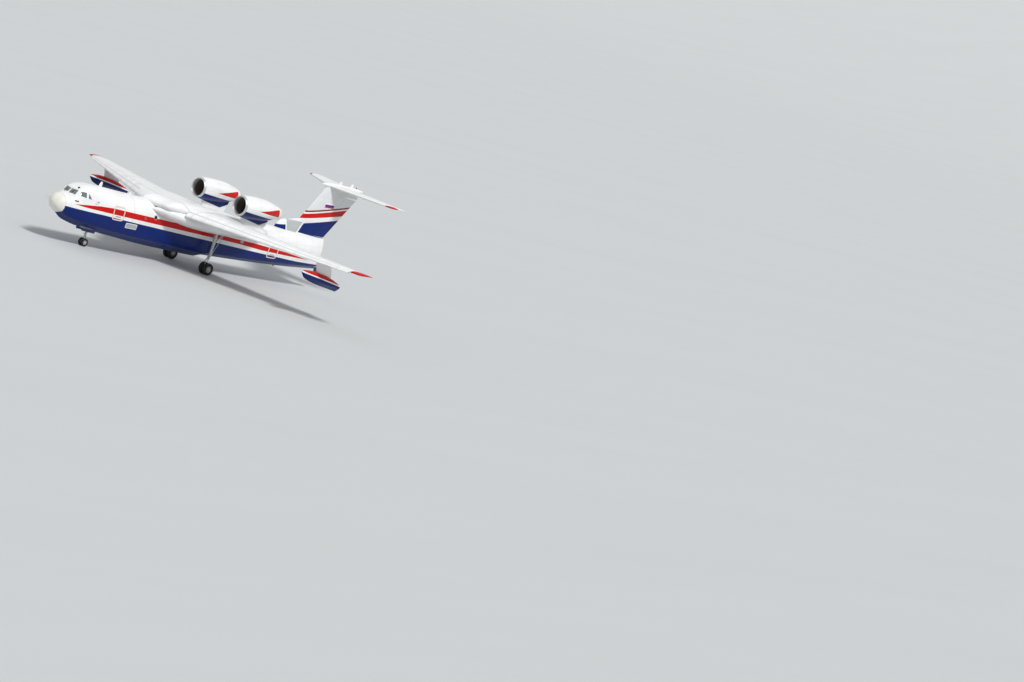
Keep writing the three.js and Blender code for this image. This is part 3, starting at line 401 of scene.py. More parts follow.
def maths(tree, operation, *values, clamp=False):
    """The result of one operation on numbers or sockets."""
    return add(tree, "Math", enumerate(values), operation=operation, use_clamp=clamp).outputs[0]


def mixed(tree, share, first, second):
    """The colour first (1 - share) + second share."""
    return add(tree, "Mix", {0: share, 6: first, 7: second}, data_type="RGBA").outputs[2]


def group(name, inputs, outputs, fill):
    """A node group; `fill` gets the tree and its input sockets, and returns the outputs."""
    tree = bpy.data.node_groups.new(name, "ShaderNodeTree")
    for label, kind, value in inputs:
        socket = tree.interface.new_socket(
            label, in_out="INPUT", socket_type="NodeSocket" + kind)
        socket.default_value = value
    for label, kind in outputs:
        tree.interface.new_socket(label, in_out="OUTPUT", socket_type="NodeSocket" + kind)
    start = tree.nodes.new("NodeGroupInput").outputs
    end = tree.nodes.new("NodeGroupOutput").inputs
    for label, socket in zip([label for label, _ in outputs], fill(tree, start)):
        tree.links.new(socket, end[label])
    return tree


def use(tree, which, **inputs):
    """The outputs of a node group; an input's name has _ for each space."""
    node = tree.nodes.new("ShaderNodeGroup")
    node.node_tree = which
    for key, value in inputs.items():
        plug(tree, node.inputs[key.replace("_", " ")], value)
    return node.outputs


def fill_places(tree, start):
    """Station, distance from the middle and height, all from object coordinates."""
    x, y, z = add(tree, "SeparateXYZ", {
        0: add(tree, "TexCoord").outputs["Object"]}).outputs
    return (maths(tree, "SUBTRACT", NOSE_X, x), maths(tree, "ABSOLUTE", y),
            maths(tree, "SUBTRACT", z, KEEL_Z))


def fill_edge(tree, start):
    """level / softness + 1/2, held between 0 and 1."""
    share = maths(tree, "DIVIDE", start["Level"], start["Softness"])
    return (maths(tree, "ADD", share, 0.5, clamp=True),)


def fill_joints(tree, start):
    """1 near each multiple of the spacing: |fract(a / d + 1/2) - 1/2| d < width / 2."""
    masks = []
    for along, gap in (("Along", "Along Gap"), ("Across", "Across Gap")):
        share = maths(tree, "DIVIDE", start[along], start[gap])
        share = maths(tree, "FRACT", maths(tree, "ADD", share, 0.5))
        away = maths(tree, "MULTIPLY", maths(
            tree, "ABSOLUTE", maths(tree, "SUBTRACT", share, 0.5)), start[gap])
        near = maths(tree, "SUBTRACT", 1.5, maths(tree, "DIVIDE", away, start["Width"]))
        masks.append(maths(tree, "MAXIMUM", near, 0.0, clamp=True))
    return (maths(tree, "MAXIMUM", *masks),)


def fill_worn(tree, start):
    """Paint darkened by streaks that run aft, by soft patches and along the joints."""
    at = add(tree, "TexCoord").outputs["Object"]
    streak = add(tree, "TexNoise", {
        "Vector": add(tree, "Mapping", {"Vector": at, "Scale": (0.35, 2.2, 1.3)}).outputs[0],
        "Scale": start["Scale"], "Detail": 5.0, "Roughness": 0.6}).outputs[0]
    patchy = add(tree, "TexNoise", {
        "Vector": at, "Scale": 9.0, "Detail": 4.0, "Roughness": 0.6}).outputs[0]
    cover = maths(tree, "ADD", maths(tree, "MULTIPLY", streak, 0.7),
                  maths(tree, "MULTIPLY", patchy, 0.3))
    dirt = maths(tree, "MULTIPLY", maths(
        tree, "MULTIPLY_ADD", cover, 4.0, -1.7, clamp=True), start["Dirt"])
    seam = maths(tree, "MULTIPLY", start["Joint"], start["Joint Depth"])
    shade = maths(tree, "SUBTRACT", 1.0, maths(tree, "MAXIMUM", dirt, seam))
    colour = add(tree, "VectorMath", {0: start["Color"], 1: shade}, operation="MULTIPLY")
    rough = maths(tree, "MULTIPLY_ADD", cover, 0.3, start["Roughness"])
    height = maths(tree, "SUBTRACT", maths(tree, "MULTIPLY", patchy, 0.08), start["Joint"])
    return colour.outputs[0], maths(tree, "SUBTRACT", rough, 0.12), height


FLOAT, COLOUR = "Float", "Color"
places = group("aircraft places", [], [("Station", FLOAT), ("Side", FLOAT), ("Height", FLOAT)],
               fill_places)
paint_edge = group("paint edge", [("Level", FLOAT, 0), ("Softness", FLOAT, 0.012)],
                   [("Mask", FLOAT)], fill_edge)
joints = group(
    "panel joints",
    [("Along", FLOAT, 0), ("Across", FLOAT, 0), ("Along Gap", FLOAT, 1), ("Across Gap", FLOAT, 1),
     ("Width", FLOAT, 0.01)],
    [("Mask", FLOAT)], fill_joints)
worn = group(
    "worn paint",
    [("Color", COLOUR, WHITE), ("Joint", FLOAT, 0), ("Joint Depth", FLOAT, 0.3),
     ("Dirt", FLOAT, 0.12), ("Scale", FLOAT, 1.0), ("Roughness", FLOAT, 0.3)],
    [("Color", COLOUR), ("Roughness", FLOAT), ("Height", FLOAT)], fill_worn)


def shaded(name, metallic=0.0, coat=0.0, depth=0.002, gloss=0.5, **settings):
    """A material with its shader, and a function that plugs colour, roughness and height."""
    material = bpy.data.materials.new(name)
    material.use_nodes = True
    tree = material.node_tree
    shader = tree.nodes["Principled BSDF"]
    shader.inputs["Metallic"].default_value = metallic
    shader.inputs["Coat Weight"].default_value = coat
    shader.inputs["Specular IOR Level"].default_value = gloss
    for key, value in settings.items():
        shader.inputs[key.replace("_", " ")].default_value = value

    def connect(outputs):
        tree.links.new(outputs["Color"], shader.inputs["Base Color"])
        tree.links.new(outputs["Roughness"], shader.inputs["Roughness"])
        bump = add(tree, "Bump", {"Height": outputs["Height"], "Distance": depth})
        tree.links.new(bump.outputs[0], shader.inputs["Normal"])
        return material

    return tree, connect


LINE_REACH, LINE_TOP = 32.0, 10.0  # greatest station and height of a paint line


def line(tree, along, points):
    """Height of a paint line: straight from each (station, height) to the next."""
    node = add(tree, "FloatCurve", {"Value": maths(tree, "DIVIDE", along, LINE_REACH)})
    curve = node.mapping.curves[0]
    while len(curve.points) < len(points):
        curve.points.new(0.5, 0.5)
    for spot, (at, value) in zip(curve.points, points):
        spot.location = (at / LINE_REACH, value / LINE_TOP)
        spot.handle_type = "VECTOR"
    node.mapping.update()
    return maths(tree, "MULTIPLY", node.outputs[0], LINE_TOP)


def above(tree, first, second, soft=0.012):
    """1 where the first value is over the second."""
    return use(tree, paint_edge, Level=maths(tree, "SUBTRACT", first, second),
               Softness=soft)["Mask"]


def all_of(tree, *masks):
    """The least of the masks."""
    return reduce(lambda a, b: maths(tree, "MINIMUM", a, b), masks)


def any_of(tree, *masks):
    """The greatest of the masks."""
    return reduce(lambda a, b: maths(tree, "MAXIMUM", a, b), masks)


def zone(tree, low, value, high):
    """1 where the value lies between low and high."""
    return all_of(tree, above(tree, value, low), above(tree, high, value))


def band(tree, value, middle, half):
    """1 within `half` of the middle."""
    away = maths(tree, "ABSOLUTE", maths(tree, "SUBTRACT", value, middle))
    return above(tree, half, away, half * 0.8)


def slanted(tree, value, slope, start, at=None):
    """start + slope (value - at)."""
    if at is not None:
        value = maths(tree, "SUBTRACT", value, at)
    return maths(tree, "MULTIPLY_ADD", value, slope, start)


def chord_share(tree, station, side, front, front_slope, rear, rear_slope):
    """(station - front edge) / (rear edge - front edge)."""
    fore, aft = slanted(tree, side, front_slope, front), slanted(tree, side, rear_slope, rear)
    return maths(tree, "DIVIDE", maths(tree, "SUBTRACT", station, fore),
                 maths(tree, "SUBTRACT", aft, fore))


def seams(tree, along, across, along_gap, across_gap, width=0.014):
    """Mask of the panel joints at multiples of two gaps."""
    return use(tree, joints, Along=along, Across=across, Along_Gap=along_gap,
               Across_Gap=across_gap, Width=width)["Mask"]


def plain(name, colour, metallic=0.0, coat=0.0, dirt=0.12, scale=1.0, rough=0.35, depth=0.002,
          **settings):
    """Paint, metal or rubber of one colour, with wear."""
    tree, connect = shaded(name, metallic, coat, depth, **settings)
    return connect(use(tree, worn, Color=colour, Dirt=dirt, Scale=scale, Roughness=rough))


def livery(name, scheme, joint_depth, dirt, scale, rough):
    """An outer paint. From station, side and height its scheme gives a colour and the mask
    of the panel joints."""
    tree, connect = shaded(name, coat=0.04, gloss=0.22)
    colour, joint = scheme(tree, *use(tree, places))
    return connect(use(tree, worn, Color=colour, Joint=joint, Joint_Depth=joint_depth, Dirt=dirt,
                       Scale=scale, Roughness=rough))


def hull_scheme(tree, station, side, height):
    """Navy below its line, and a red stripe between two lines that meet at both ends."""
    navy = above(tree, line(tree, station, [
        (0.0, 2.01), (4.1, 1.96), (6.95, 1.86), (15.15, 1.64), (19.2, 1.52), (23.4, 1.39),
        (26.1, 1.30), (32, 1.26)]), height)
    red_low = line(tree, station, [
        (0, 2.38), (1.31, 2.30), (2.31, 2.24), (8.5, 2.10), (16.7, 1.92), (19.05, 1.85),
        (21.6, 1.70), (27.6, 1.57), (32, 1.5)])
    red_top = line(tree, station, [
        (0, 2.2), (1.31, 2.30), (2.32, 2.43), (3.65, 2.57), (5.0, 2.62), (8.3, 2.55),
        (12.2, 2.48), (14.8, 2.31), (20.7, 2.14), (24.5, 1.90), (27.6, 1.57), (32, 1.3)])
    colour = mixed(tree, zone(tree, red_low, height, red_top), WHITE, RED)
    return mixed(tree, navy, colour, NAVY), seams(tree, station, height, 1.06, 0.9)


def wing_scheme(tree, station, side, height):
    """Red tips and grey spoilers; joints along the spars, at the root and at the ribs."""
    share = chord_share(tree, station, side, WING_FRONT, SWEEP, WING_REAR, WING_REAR_SLOPE)
    spoiler = all_of(tree, above(tree, share, 0.575, 0.004), above(tree, 0.69, share, 0.004),
                     zone(tree, 3.7, side, 10.2))
    colour = mixed(tree, above(tree, side, 15.61), mixed(tree, spoiler, WHITE, GREY_WHITE), RED)
    spars = [band(tree, share, at, half)
             for at, half in ((0.115, 0.005), (0.575, 0.004), (0.36, 0.003))]
    return colour, any_of(tree, *spars, band(tree, side, 3.3, 0.014),
                          seams(tree, side, share, 1.62, 5.0))


def tail_scheme(tree, station, side, height):
    """Fin and dorsal fairing: navy at the foot, a red and a dark red band above it, and three
    plain stripes in a patch."""
    fin_front = slanted(tree, height, 0.50, 25.86, at=3.56)
    navy_top = line(tree, station, [(0, 0), (23, 3.72), (26.2, 4.34), (32, 5.47)])
    navy_low = line(tree, station, [(0, 3.6), (25.85, 3.56), (28.9, 3.38), (32, 3.2)])
    navy = all_of(tree, zone(tree, navy_low, height, navy_top), above(tree, station, fin_front))
    fore_rear = slanted(tree, height, -0.30, 24.48, at=3.5)
    fore = all_of(tree, above(tree, slanted(tree, station, 0.126, 0.89), height),
                  above(tree, fore_rear, station))
    low = line(tree, station, [(0, 0), (23, 4.19), (25.69, 4.67), (32, 5.79)])
    top = line(tree, station, [(0, 0), (23, 4.72), (26.34, 5.41), (32, 6.58)])
    red = all_of(tree, zone(tree, low, height, maths(tree, "SUBTRACT", top, 0.26)),
                 above(tree, height, 4.6, 0.02))
    thin = zone(tree, maths(tree, "SUBTRACT", top, 0.13), height, top)
    grey = all_of(tree, above(tree, 4.42, height),
                  zone(tree, maths(tree, "ADD", fore_rear, 0.12), station,
                       maths(tree, "SUBTRACT", fin_front, 0.16)))
    colour = mixed(tree, above(tree, height, top), WHITE, GREY_WHITE)
    for mask, paint in ((grey, LIGHT_GREY), (red, RED), (thin, DARK_RED),
                        (any_of(tree, navy, fore), NAVY)):
        colour = mixed(tree, mask, colour, paint)
    slant = maths(tree, "MULTIPLY_ADD", maths(tree, "SUBTRACT", station, 27.97), -0.02, height)
    stripes = mixed(tree, above(tree, slant, 6.223),
                    mixed(tree, above(tree, slant, 6.087), RED, BLUE), WHITE)
    where = all_of(tree, zone(tree, 27.97, station, 29.01), zone(tree, 5.95, slant, 6.36))
    swept = maths(tree, "MULTIPLY_ADD", height, -0.64, station)
    return mixed(tree, where, colour, stripes), seams(tree, swept, height, 1.3, 1.12)


def tailplane_scheme(tree, station, side, height):
    """Tips red aft of a slanting line."""
    behind = maths(tree, "MULTIPLY", maths(tree, "SUBTRACT", station, slanted(
        tree, side, TAIL_SLOPE, TAIL_FRONT)), 0.95)
    tip = above(tree, maths(tree, "SUBTRACT", side, 4.42), behind)
    share = chord_share(tree, station, side, TAIL_FRONT, TAIL_SLOPE, TAIL_REAR, TAIL_REAR_SLOPE)
    return mixed(tree, tip, WHITE, RED), any_of(
        tree, band(tree, share, 0.10, 0.006), band(tree, share, 0.45, 0.004),
        seams(tree, side, share, 0.92, 5.0))


def nacelle_scheme(tree, station, side, height):
    """Navy between two lines at the bottom, and a red wedge that widens aft."""
    navy = zone(tree, line(tree, station, [(0, 4.3), (16.5, 4.24), (16.86, 4.18), (19.2, 3.80),
                                           (20.9, 4.50), (32, 8)]), height,
                line(tree, station, [(0, 4.8), (16.4, 4.77), (20.7, 4.46), (32, 4.2)]))
    red = zone(tree, line(tree, station, [(0, 5.9), (17.95, 4.98), (19.0, 4.89), (20.25, 4.80),
                                          (32, 4.5)]), height,
               line(tree, station, [(0, 4.0), (17.95, 4.98), (18.85, 5.15), (19.95, 5.33),
                                    (32, 6.2)]))
    colour = mixed(tree, red, mixed(tree, navy, WHITE, NAVY), RED)
    return colour, any_of(tree, band(tree, station, 18.05, 0.011),
                          band(tree, station, 19.6, 0.011),
                          band(tree, height, ENGINE_HEIGHT, 0.009))


def float_scheme(tree, station, side, height):
    """Red above one sloping line and navy below another, with white between them."""
    red_low = line(tree, station, [(0, 4.5), (14.39, 2.72), (16.53, 2.45), (18.56, 2.18),
                                   (32, 0.5)])
    navy_top = line(tree, station, [(0, 4.4), (14.5, 2.60), (16.49, 2.37), (18.56, 2.08),
                                    (32, 0.4)])
    colour = mixed(tree, above(tree, height, red_low), WHITE, RED)
    return (mixed(tree, above(tree, navy_top, height), colour, NAVY),
            seams(tree, station, height, 0.85, 6.0, width=0.012))


hull_coat = livery("hull_paint", hull_scheme, 0.16, 0.14, 0.9, 0.28)
wing_coat = livery("wing_paint", wing_scheme, 0.30, 0.16, 0.7, 0.3)
tail_coat = livery("tail_paint", tail_scheme, 0.18, 0.12, 1.0, 0.3)
stabilizer_coat = livery("stabilizer_paint", tailplane_scheme, 0.22, 0.12, 1.0, 0.3)
nacelle_coat = livery("nacelle_paint", nacelle_scheme, 0.3, 0.16, 1.6, 0.28)
float_coat = livery("float_paint", float_scheme, 0.18, 0.14, 1.8, 0.28)
white_coat = plain("white_paint", WHITE, coat=0.2, dirt=0.16)
navy_coat = plain("navy_paint", NAVY, coat=0.3, dirt=0.1)
cream_coat = plain("radome_cream", CREAM, coat=0.1, dirt=0.14, scale=1.4, rough=0.42)
door_line = plain("door_outline", (0.85, 0.64, 0.50, 1), dirt=0.1)
lining = plain("cabin_lining", (0.33, 0.36, 0.34, 1), dirt=0.2, scale=2.0, rough=0.7)
deck_mat = plain("cabin_floor", (0.12, 0.13, 0.13, 1), dirt=0.3, scale=3.0, rough=0.75)
lip_metal = plain("lip_metal", (0.60, 0.61, 0.61, 1), metallic=0.55, dirt=0.22, scale=3.0,
                  rough=0.42)
duct_metal = plain("duct_metal", (0.17, 0.135, 0.11, 1), metallic=0.3, dirt=0.3, scale=3.0,
                   rough=0.5)
engine_metal = plain("engine_metal", (0.22, 0.20, 0.18, 1), metallic=0.9, dirt=0.35, scale=4.0,
                     rough=0.38)
fan_metal = plain("fan_metal", (0.34, 0.34, 0.36, 1), metallic=0.95, dirt=0.2, scale=5.0,
                  rough=0.28)
gear_metal = plain("gear_metal", (0.56, 0.58, 0.58, 1), metallic=0.25, dirt=0.3, scale=4.0,
                   rough=0.35)
piston_metal = plain("piston_metal", (0.75, 0.75, 0.76, 1), metallic=1.0, dirt=0.08, scale=6.0,
                     rough=0.16)
wheel_alloy = plain("wheel_alloy", (0.50, 0.52, 0.50, 1), metallic=0.6, dirt=0.35, scale=6.0,
                    rough=0.35)
tyre_rubber = plain("tyre", (0.022, 0.022, 0.023, 1), dirt=0.4, scale=6.0, rough=0.75,
                    depth=0.004)
panel_black = plain("panel_black", (0.030, 0.031, 0.033, 1), dirt=0.2, scale=8.0, rough=0.55)
seat_shell = plain("seat_shell", (0.10, 0.13, 0.16, 1), dirt=0.25, scale=8.0, rough=0.7)
port_dark = plain("port_dark", (0.012, 0.013, 0.015, 1), dirt=0.2, scale=8.0, rough=0.35)
mark_grey = plain("mark_grey", (0.40, 0.42, 0.44, 1), dirt=0.2, scale=3.0, rough=0.45)


def lens(name, colour, transmission):
    """Tinted glass, with dust."""
    tree, connect = shaded(name, Transmission_Weight=transmission, IOR=1.45)
    return connect(use(tree, worn, Color=colour, Dirt=0.15, Scale=4.0, Roughness=0.05))


cockpit_glass = lens("cockpit_glass", (0.27, 0.32, 0.30, 1), 0.45)
red_lens = lens("red_lens", (0.55, 0.01, 0.01, 1), 0.4)
green_lens = lens("green_lens", (0.01, 0.35, 0.08, 1), 0.4)
clear_lens = lens("clear_lens", (0.75, 0.78, 0.80, 1), 0.5)

# Floor: a flat disc whose far rim rises in a wide curve, so that no horizon shows
rise = np.linspace(0, 1, 40)
floor_radius = np.concatenate([[0.0, 30, 120, 400], 700 + 900 * np.sin(rise * QUARTER)])
floor_height = np.concatenate([[0.0, 0, 0, 0], 500 * (1 - np.cos(rise * QUARTER))])
floor_turn = np.linspace(0, 2 * np.pi, 96, endpoint=False)
floor_points = np.stack(np.broadcast_arrays(
    floor_radius[:, None] * np.cos(floor_turn), floor_radius[:, None] * np.sin(floor_turn),
    floor_height[:, None]), axis=-1)
floor_shape = (floor_points.reshape(-1, 3),
               cells(*floor_points.shape[:2], wrap_columns=True))
floor = bpy.data.objects.new("floor", mesh_of("floor", [floor_shape], 60))
floor.data.materials.append(
    plain("floor", (0.56, 0.57, 0.57, 1), dirt=0.02, scale=0.05, rough=0.8))
bpy.context.scene.collection.objects.link(floor)

world = bpy.data.worlds.new("world")
world.use_nodes = True
world.node_tree.nodes["Background"].inputs[0].default_value = (0.86, 0.90, 0.95, 1)
world.node_tree.nodes["Background"].inputs[1].default_value = 0.48
bpy.context.scene.world = world
bpy.context.scene.view_settings.view_transform = "Standard"

# Hull. Columns: station, keel height, chine half breadth, chine height, greatest half
# breadth, its height, crown height, roundness of the top (less than 1 has fuller shoulders)
FOREBODY = [
    (0.65, 1.240, 0.560, 1.450, 0.880, 2.040, 2.800, 1),
    (1.25, 0.900, 0.790, 1.230, 1.090, 2.110, 2.950, 0.84),
    (1.7, 0.775, 0.880, 1.145, 1.180, 2.145, 3.450, 0.7),
    (2.2, 0.670, 0.960, 1.080, 1.260, 2.180, 3.730, 0.72),
    (3.0, 0.545, 1.050, 1.000, 1.350, 2.230, 3.840, 0.84),
    (4.5, 0.400, 1.140, 0.900, 1.420, 2.270, 3.820, 0.97),
    (6.9, 0.245, 1.210, 0.790, 1.430, 2.290, 3.740, 1),
    (10.7, 0.060, 1.260, 0.680, 1.430, 2.290, 3.720, 1),
    (15.8, 0.000, 1.260, 0.560, 1.430, 2.290, 3.720, 1)]
AFTERBODY = [
    (15.8, 0.190, 1.230, 0.620, 1.430, 2.290, 3.720, 1),
    (19.0, 0.290, 1.140, 0.700, 1.400, 2.300, 3.700, 1),
    (22.0, 0.400, 1.000, 0.790, 1.290, 2.300, 3.650, 1),
    (25.0, 0.550, 0.780, 0.900, 1.050, 2.280, 3.560, 1),
    (27.5, 0.730, 0.500, 1.010, 0.720, 2.250, 3.470, 1),
    (29.0, 0.870, 0.270, 1.090, 0.420, 2.230, 3.420, 1),
    (29.5, 0.920, 0.190, 1.110, 0.300, 2.220, 3.400, 1)]
RADOME_JOINT, BOW_END, STEP, STERN = 0.65, 7.2, 15.8, 29.15  # stations
HULL_WALL = 0.05
CABIN_FLOOR = 1.56
REAR_FLOOR = 1.18
FRONT_DOOR = (5.18, 6.11, 1.87, 2.76)  # stations, heights
REAR_DOOR = (22.42, 23.38, 1.30, 2.05)
DOOR_AIR = 0.008
NOSE_BAY = (3.35, 4.95, 0.33, 1.38)  # stations, half breadth, roof


def hull_rows(table, station):
    """The table's columns at a station."""
    return np.moveaxis(smooth_rows(table, station), -1, 0)


def hull_point(table, station, turn, grow=0.0):
    """Side and height of the hull at a turn: 0 to 1 is straight from keel to chine, 1 to 2 a
    quarter ellipse to the greatest breadth, 2 to 3 over the top with y = b cos^e t and
    z = c sin^e t. `grow` moves the surface outwards."""
    keel, chine, chine_h, beam_y, beam_h, crown, full = hull_rows(table, station)
    low = np.clip(turn, 0, 1)
    mid = np.clip(turn - 1, 0, 1) * QUARTER
    top = np.clip(turn - 2, 0, 1) * QUARTER
    foot = chine_h - grow / 2
    bottom = (low * (chine + grow), keel - grow + (foot - keel + grow) * low)
    flank = (chine + grow + (beam_y - chine) * np.sin(mid),
             foot + (beam_h - foot) * (1 - np.cos(mid)))
    over = ((beam_y + grow) * np.abs(np.cos(top)) ** full,
            beam_h + (crown + grow - beam_h) * np.sin(top) ** full)
    return tuple(np.where(turn <= 1, b, np.where(turn <= 2, f, o))
                 for b, f, o in zip(bottom, flank, over))


def turn_at(table, station, height):
    """The turn at which the hull has a given height, from the formulas of hull_point."""
    keel, _, chine_h, _, beam_h, crown, full = hull_rows(table, station)
    low = (height - keel) / (chine_h - keel)
    mid = 1 + np.arccos(np.clip(1 - (height - chine_h) / (beam_h - chine_h), -1, 1)) / QUARTER
    rise = np.clip((height - beam_h) / (crown - beam_h), 0, 1)
    over = 2 + np.arcsin(rise ** (1 / full)) / QUARTER
    return np.where(height < chine_h, low, np.where(height < beam_h, mid, over))


def hull_skin(table, stations, sill, head, steps, holes):
    """Both sides of a length of hull. Its lanes run from the keel to the nose bay's edge,
    the chine, the door sill, the door head and the crown; `holes` drops cells."""
    chine = hull_rows(table, stations)[1]
    knots = np.stack([
        np.zeros(len(stations)), NOSE_BAY[2] / chine, np.ones(len(stations)),
        turn_at(table, stations, sill), turn_at(table, stations, head),
        np.full(len(stations), 3.0)])
    lanes = [knots[i] + (knots[i + 1] - knots[i]) * np.linspace(0, 1, n, endpoint=False)[:, None]
             for i, n in enumerate(steps)]
    turn = np.concatenate(lanes + [knots[-1:]]).T
    station = np.broadcast_to(stations[:, None], turn.shape)
    side, height = hull_point(table, station, turn)
    centre = [(v[:-1, :-1] + v[1:, 1:]) / 2 for v in (station, side, height)]
    starts = np.cumsum((0,) + steps)
    lane = np.searchsorted(starts, np.arange(turn.shape[1] - 1), side="right") - 1
    points, faces = [], []
    for way, _ in SIDES:
        keep = ~holes(*centre, np.broadcast_to(lane, centre[0].shape), way)
        faces.append(cells(*turn.shape, keep=keep)[:, ::-way] + turn.size * len(points))
        points.append(place(station, way * side, height).reshape(-1, 3))
    points, faces = np.concatenate(points), np.concatenate(faces)
    a, b, c, d = (points[faces[:, i]] for i in range(4))
    arm = (a + c) / 2 - place((stations[0] + stations[-1]) / 2, 0, 2.0)
    outside = np.sum(arm[:, 1:] * np.cross(c - a, d - b)[:, 1:]) > 0
    return points, faces if outside else faces[:, ::-1]


def on_hull(table, way):
    """Puts a station and height on the hull's side."""
    def put(station, height, lift):
        side, level = hull_point(table, station, turn_at(table, station, height), lift)
        return place(station, way * side, level)
    return put


def on_brow(way):
    """Puts a side and height on the bow above the radome: the station is found by halving
    an interval until the hull's breadth at that height equals the side."""
    def put(side, height, lift):
        side, height = np.broadcast_arrays(np.abs(side), height)
        fore, aft = np.full(side.shape, 0.7), np.full(side.shape, 3.2)
        for _ in range(36):
            middle = (fore + aft) / 2
            breadth = hull_point(FOREBODY, middle, turn_at(FOREBODY, middle, height))[0]
            fore = np.where(breadth < side, middle, fore)
            aft = np.where(breadth < side, aft, middle)
        y, level = hull_point(FOREBODY, aft, turn_at(FOREBODY, aft, height), lift)
        return place(aft, way * y, level)
    return put


SCREEN = [(0.045, 2.96), (0.73, 2.94), (0.69, 3.34), (0.045, 3.29)]
SIDE_WINDOW = [(1.60, 2.99), (2.22, 2.92), (2.22, 3.32), (1.80, 3.31)]
QUARTER_WINDOW = [(2.37, 2.93), (2.76, 2.88), (2.39, 3.34)]


def in_door(door, station, lane, way):
    """Cells of the door's opening, on the port side."""
    return ((lane == 3) & (station > door[0] - DOOR_AIR) & (station < door[1] + DOOR_AIR)
            & (way > 0))


def bow_holes(station, side, height, lane, way):
    """Cells taken out of the bow: windows, the nose bay and the front door."""
    high = height > 2.6
    screen = within(SCREEN, side, height, 0.012) & high & (station < 2.0)
    window = within(SIDE_WINDOW, station, height, 0.012) & high
    small = within(QUARTER_WINDOW, station, height, 0.004) & high
    bay = (lane == 0) & (station > NOSE_BAY[0]) & (station < NOSE_BAY[1])
    return screen | window | small | bay | in_door(FRONT_DOOR, station, lane, way)


def aft_holes(station, side, height, lane, way):
    """Cells taken out behind the step: the rear door."""
    return in_door(REAR_DOOR, station, lane, way)


def no_holes(station, side, height, lane, way):
    """No cell at all."""
    return np.zeros(station.shape, bool)


def spaced(*marks, step):
    """Stations from mark to mark, no further apart than `step`."""
    parts = [np.linspace(a, b, max(2, int(np.ceil((b - a) / step)) + 1))[:-1]
             for a, b in zip(marks[:-1], marks[1:])]
    return np.concatenate(parts + [np.array([marks[-1]])])


bow_stations = np.concatenate([
    spaced(RADOME_JOINT, 1.0, step=0.05)[:-1], spaced(1.0, 3.0, step=0.0225)[:-1],
    spaced(3.0, NOSE_BAY[0], NOSE_BAY[1], FRONT_DOOR[0] - DOOR_AIR, FRONT_DOOR[1] + DOOR_AIR,
           BOW_END, step=0.12)])
bow_skin = hull_skin(FOREBODY, bow_stations, FRONT_DOOR[2] - DOOR_AIR, FRONT_DOOR[3] + DOOR_AIR,
                     (3, 6, 10, 10, 44), bow_holes)
piece("hull_bow", [bow_skin], hull_coat, own=True,
      wall=HULL_WALL, lining=lining)


def section(table, station, low_turn=0.0, grow=0.0, steps=72):
    """The closed ring of the hull at a station, from one turn up to the crown and back."""
    turn = np.linspace(low_turn, 3, steps)
    side, height = hull_point(table, np.full(steps, station), turn, grow)
    return place(station, np.concatenate([side, -side[::-1]]),
                 np.concatenate([height, height[::-1]]))


BULKHEAD = 0.04


def wall_across(table, station, floor_height):
    """A bulkhead that fills the hull's section above a floor."""
    low = float(turn_at(table, station, floor_height))
    return body([section(table, station + back, low, -HULL_WALL) for back in (0, BULKHEAD)])


def deck(table, first, last, height):
    """A floor 0.03 thick from side to side of the hull."""
    stations = spaced(first, last, step=0.3)
    side = hull_point(table, stations, turn_at(table, stations, height), -HULL_WALL)[0]
    corner = [place(stations, way * side, height - drop)
              for way, drop in ((1, 0), (-1, 0), (-1, 0.03), (1, 0.03))]
    return body(np.stack(corner, axis=1))


def walls(table, first, last, height):
    """The bulkheads before and behind a floor."""
    return [wall_across(table, at, height) for at in (first - BULKHEAD, last)]


CABIN, REAR_CABIN = (1.45, 7.0, CABIN_FLOOR), (17.6, 26.3, REAR_FLOOR)  # stations, height
piece("cabin_floor", [deck(FOREBODY, *CABIN)], deck_mat)
piece("cabin_bulkheads", walls(FOREBODY, *CABIN), lining)

middle_stations = spaced(BOW_END, 10.7, STEP, step=0.25)
middle_skin = hull_skin(FOREBODY, middle_stations, 1.862, 2.768, (3, 6, 10, 10, 26), no_holes)
piece("hull_mid",
      [middle_skin, body([section(FOREBODY, STEP - 0.01), section(FOREBODY, STEP)]),
       body([section(FOREBODY, at, grow=-0.004) for at in (BOW_END + 0.01, BOW_END + 0.05)])],
      hull_coat, own=True)

aft_stations = spaced(STEP, REAR_DOOR[0] - DOOR_AIR, REAR_DOOR[1] + DOOR_AIR, STERN, step=0.2)
aft_skin = hull_skin(AFTERBODY, aft_stations, REAR_DOOR[2] - DOOR_AIR, REAR_DOOR[3] + DOOR_AIR,
                     (3, 6, 10, 10, 26), aft_holes)
piece("hull_aft", [aft_skin], hull_coat, own=True,
      wall=HULL_WALL, lining=lining)
piece("stern_plate",
      [body([section(AFTERBODY, STERN - 0.03, grow=-0.01), section(AFTERBODY, STERN)])],
      hull_coat)
piece("rear_cabin", [deck(AFTERBODY, *REAR_CABIN)] + walls(AFTERBODY, *REAR_CABIN), lining)

# Radome: the bow's front ring shrunk to a share s of itself, at the depth
# 0.65 (1 - sqrt(1 - s^2) + s^1.7) / 2 behind the tip
cap_share = np.sin(np.linspace(0, 1, 30) * QUARTER)[:, None, None]
cap_centre = place(RADOME_JOINT, 0, 2.04)
cap = cap_centre + (section(FOREBODY, RADOME_JOINT, steps=60)[None] - cap_centre) * cap_share
cap_round = 1 - np.sqrt(1 - cap_share[..., 0] ** 2)
cap[..., 0] = NOSE_X - RADOME_JOINT * (cap_round + cap_share[..., 0] ** 1.7) / 2
piece("radome", [sheet(cap, wrap_columns=True)], cream_coat, own=True)
joint_ring = section(FOREBODY, RADOME_JOINT + 0.01, grow=-0.004)
piece("radome_joint", [tube(np.vstack([joint_ring, joint_ring[:1]]), 0.008, 8)], mark_grey)

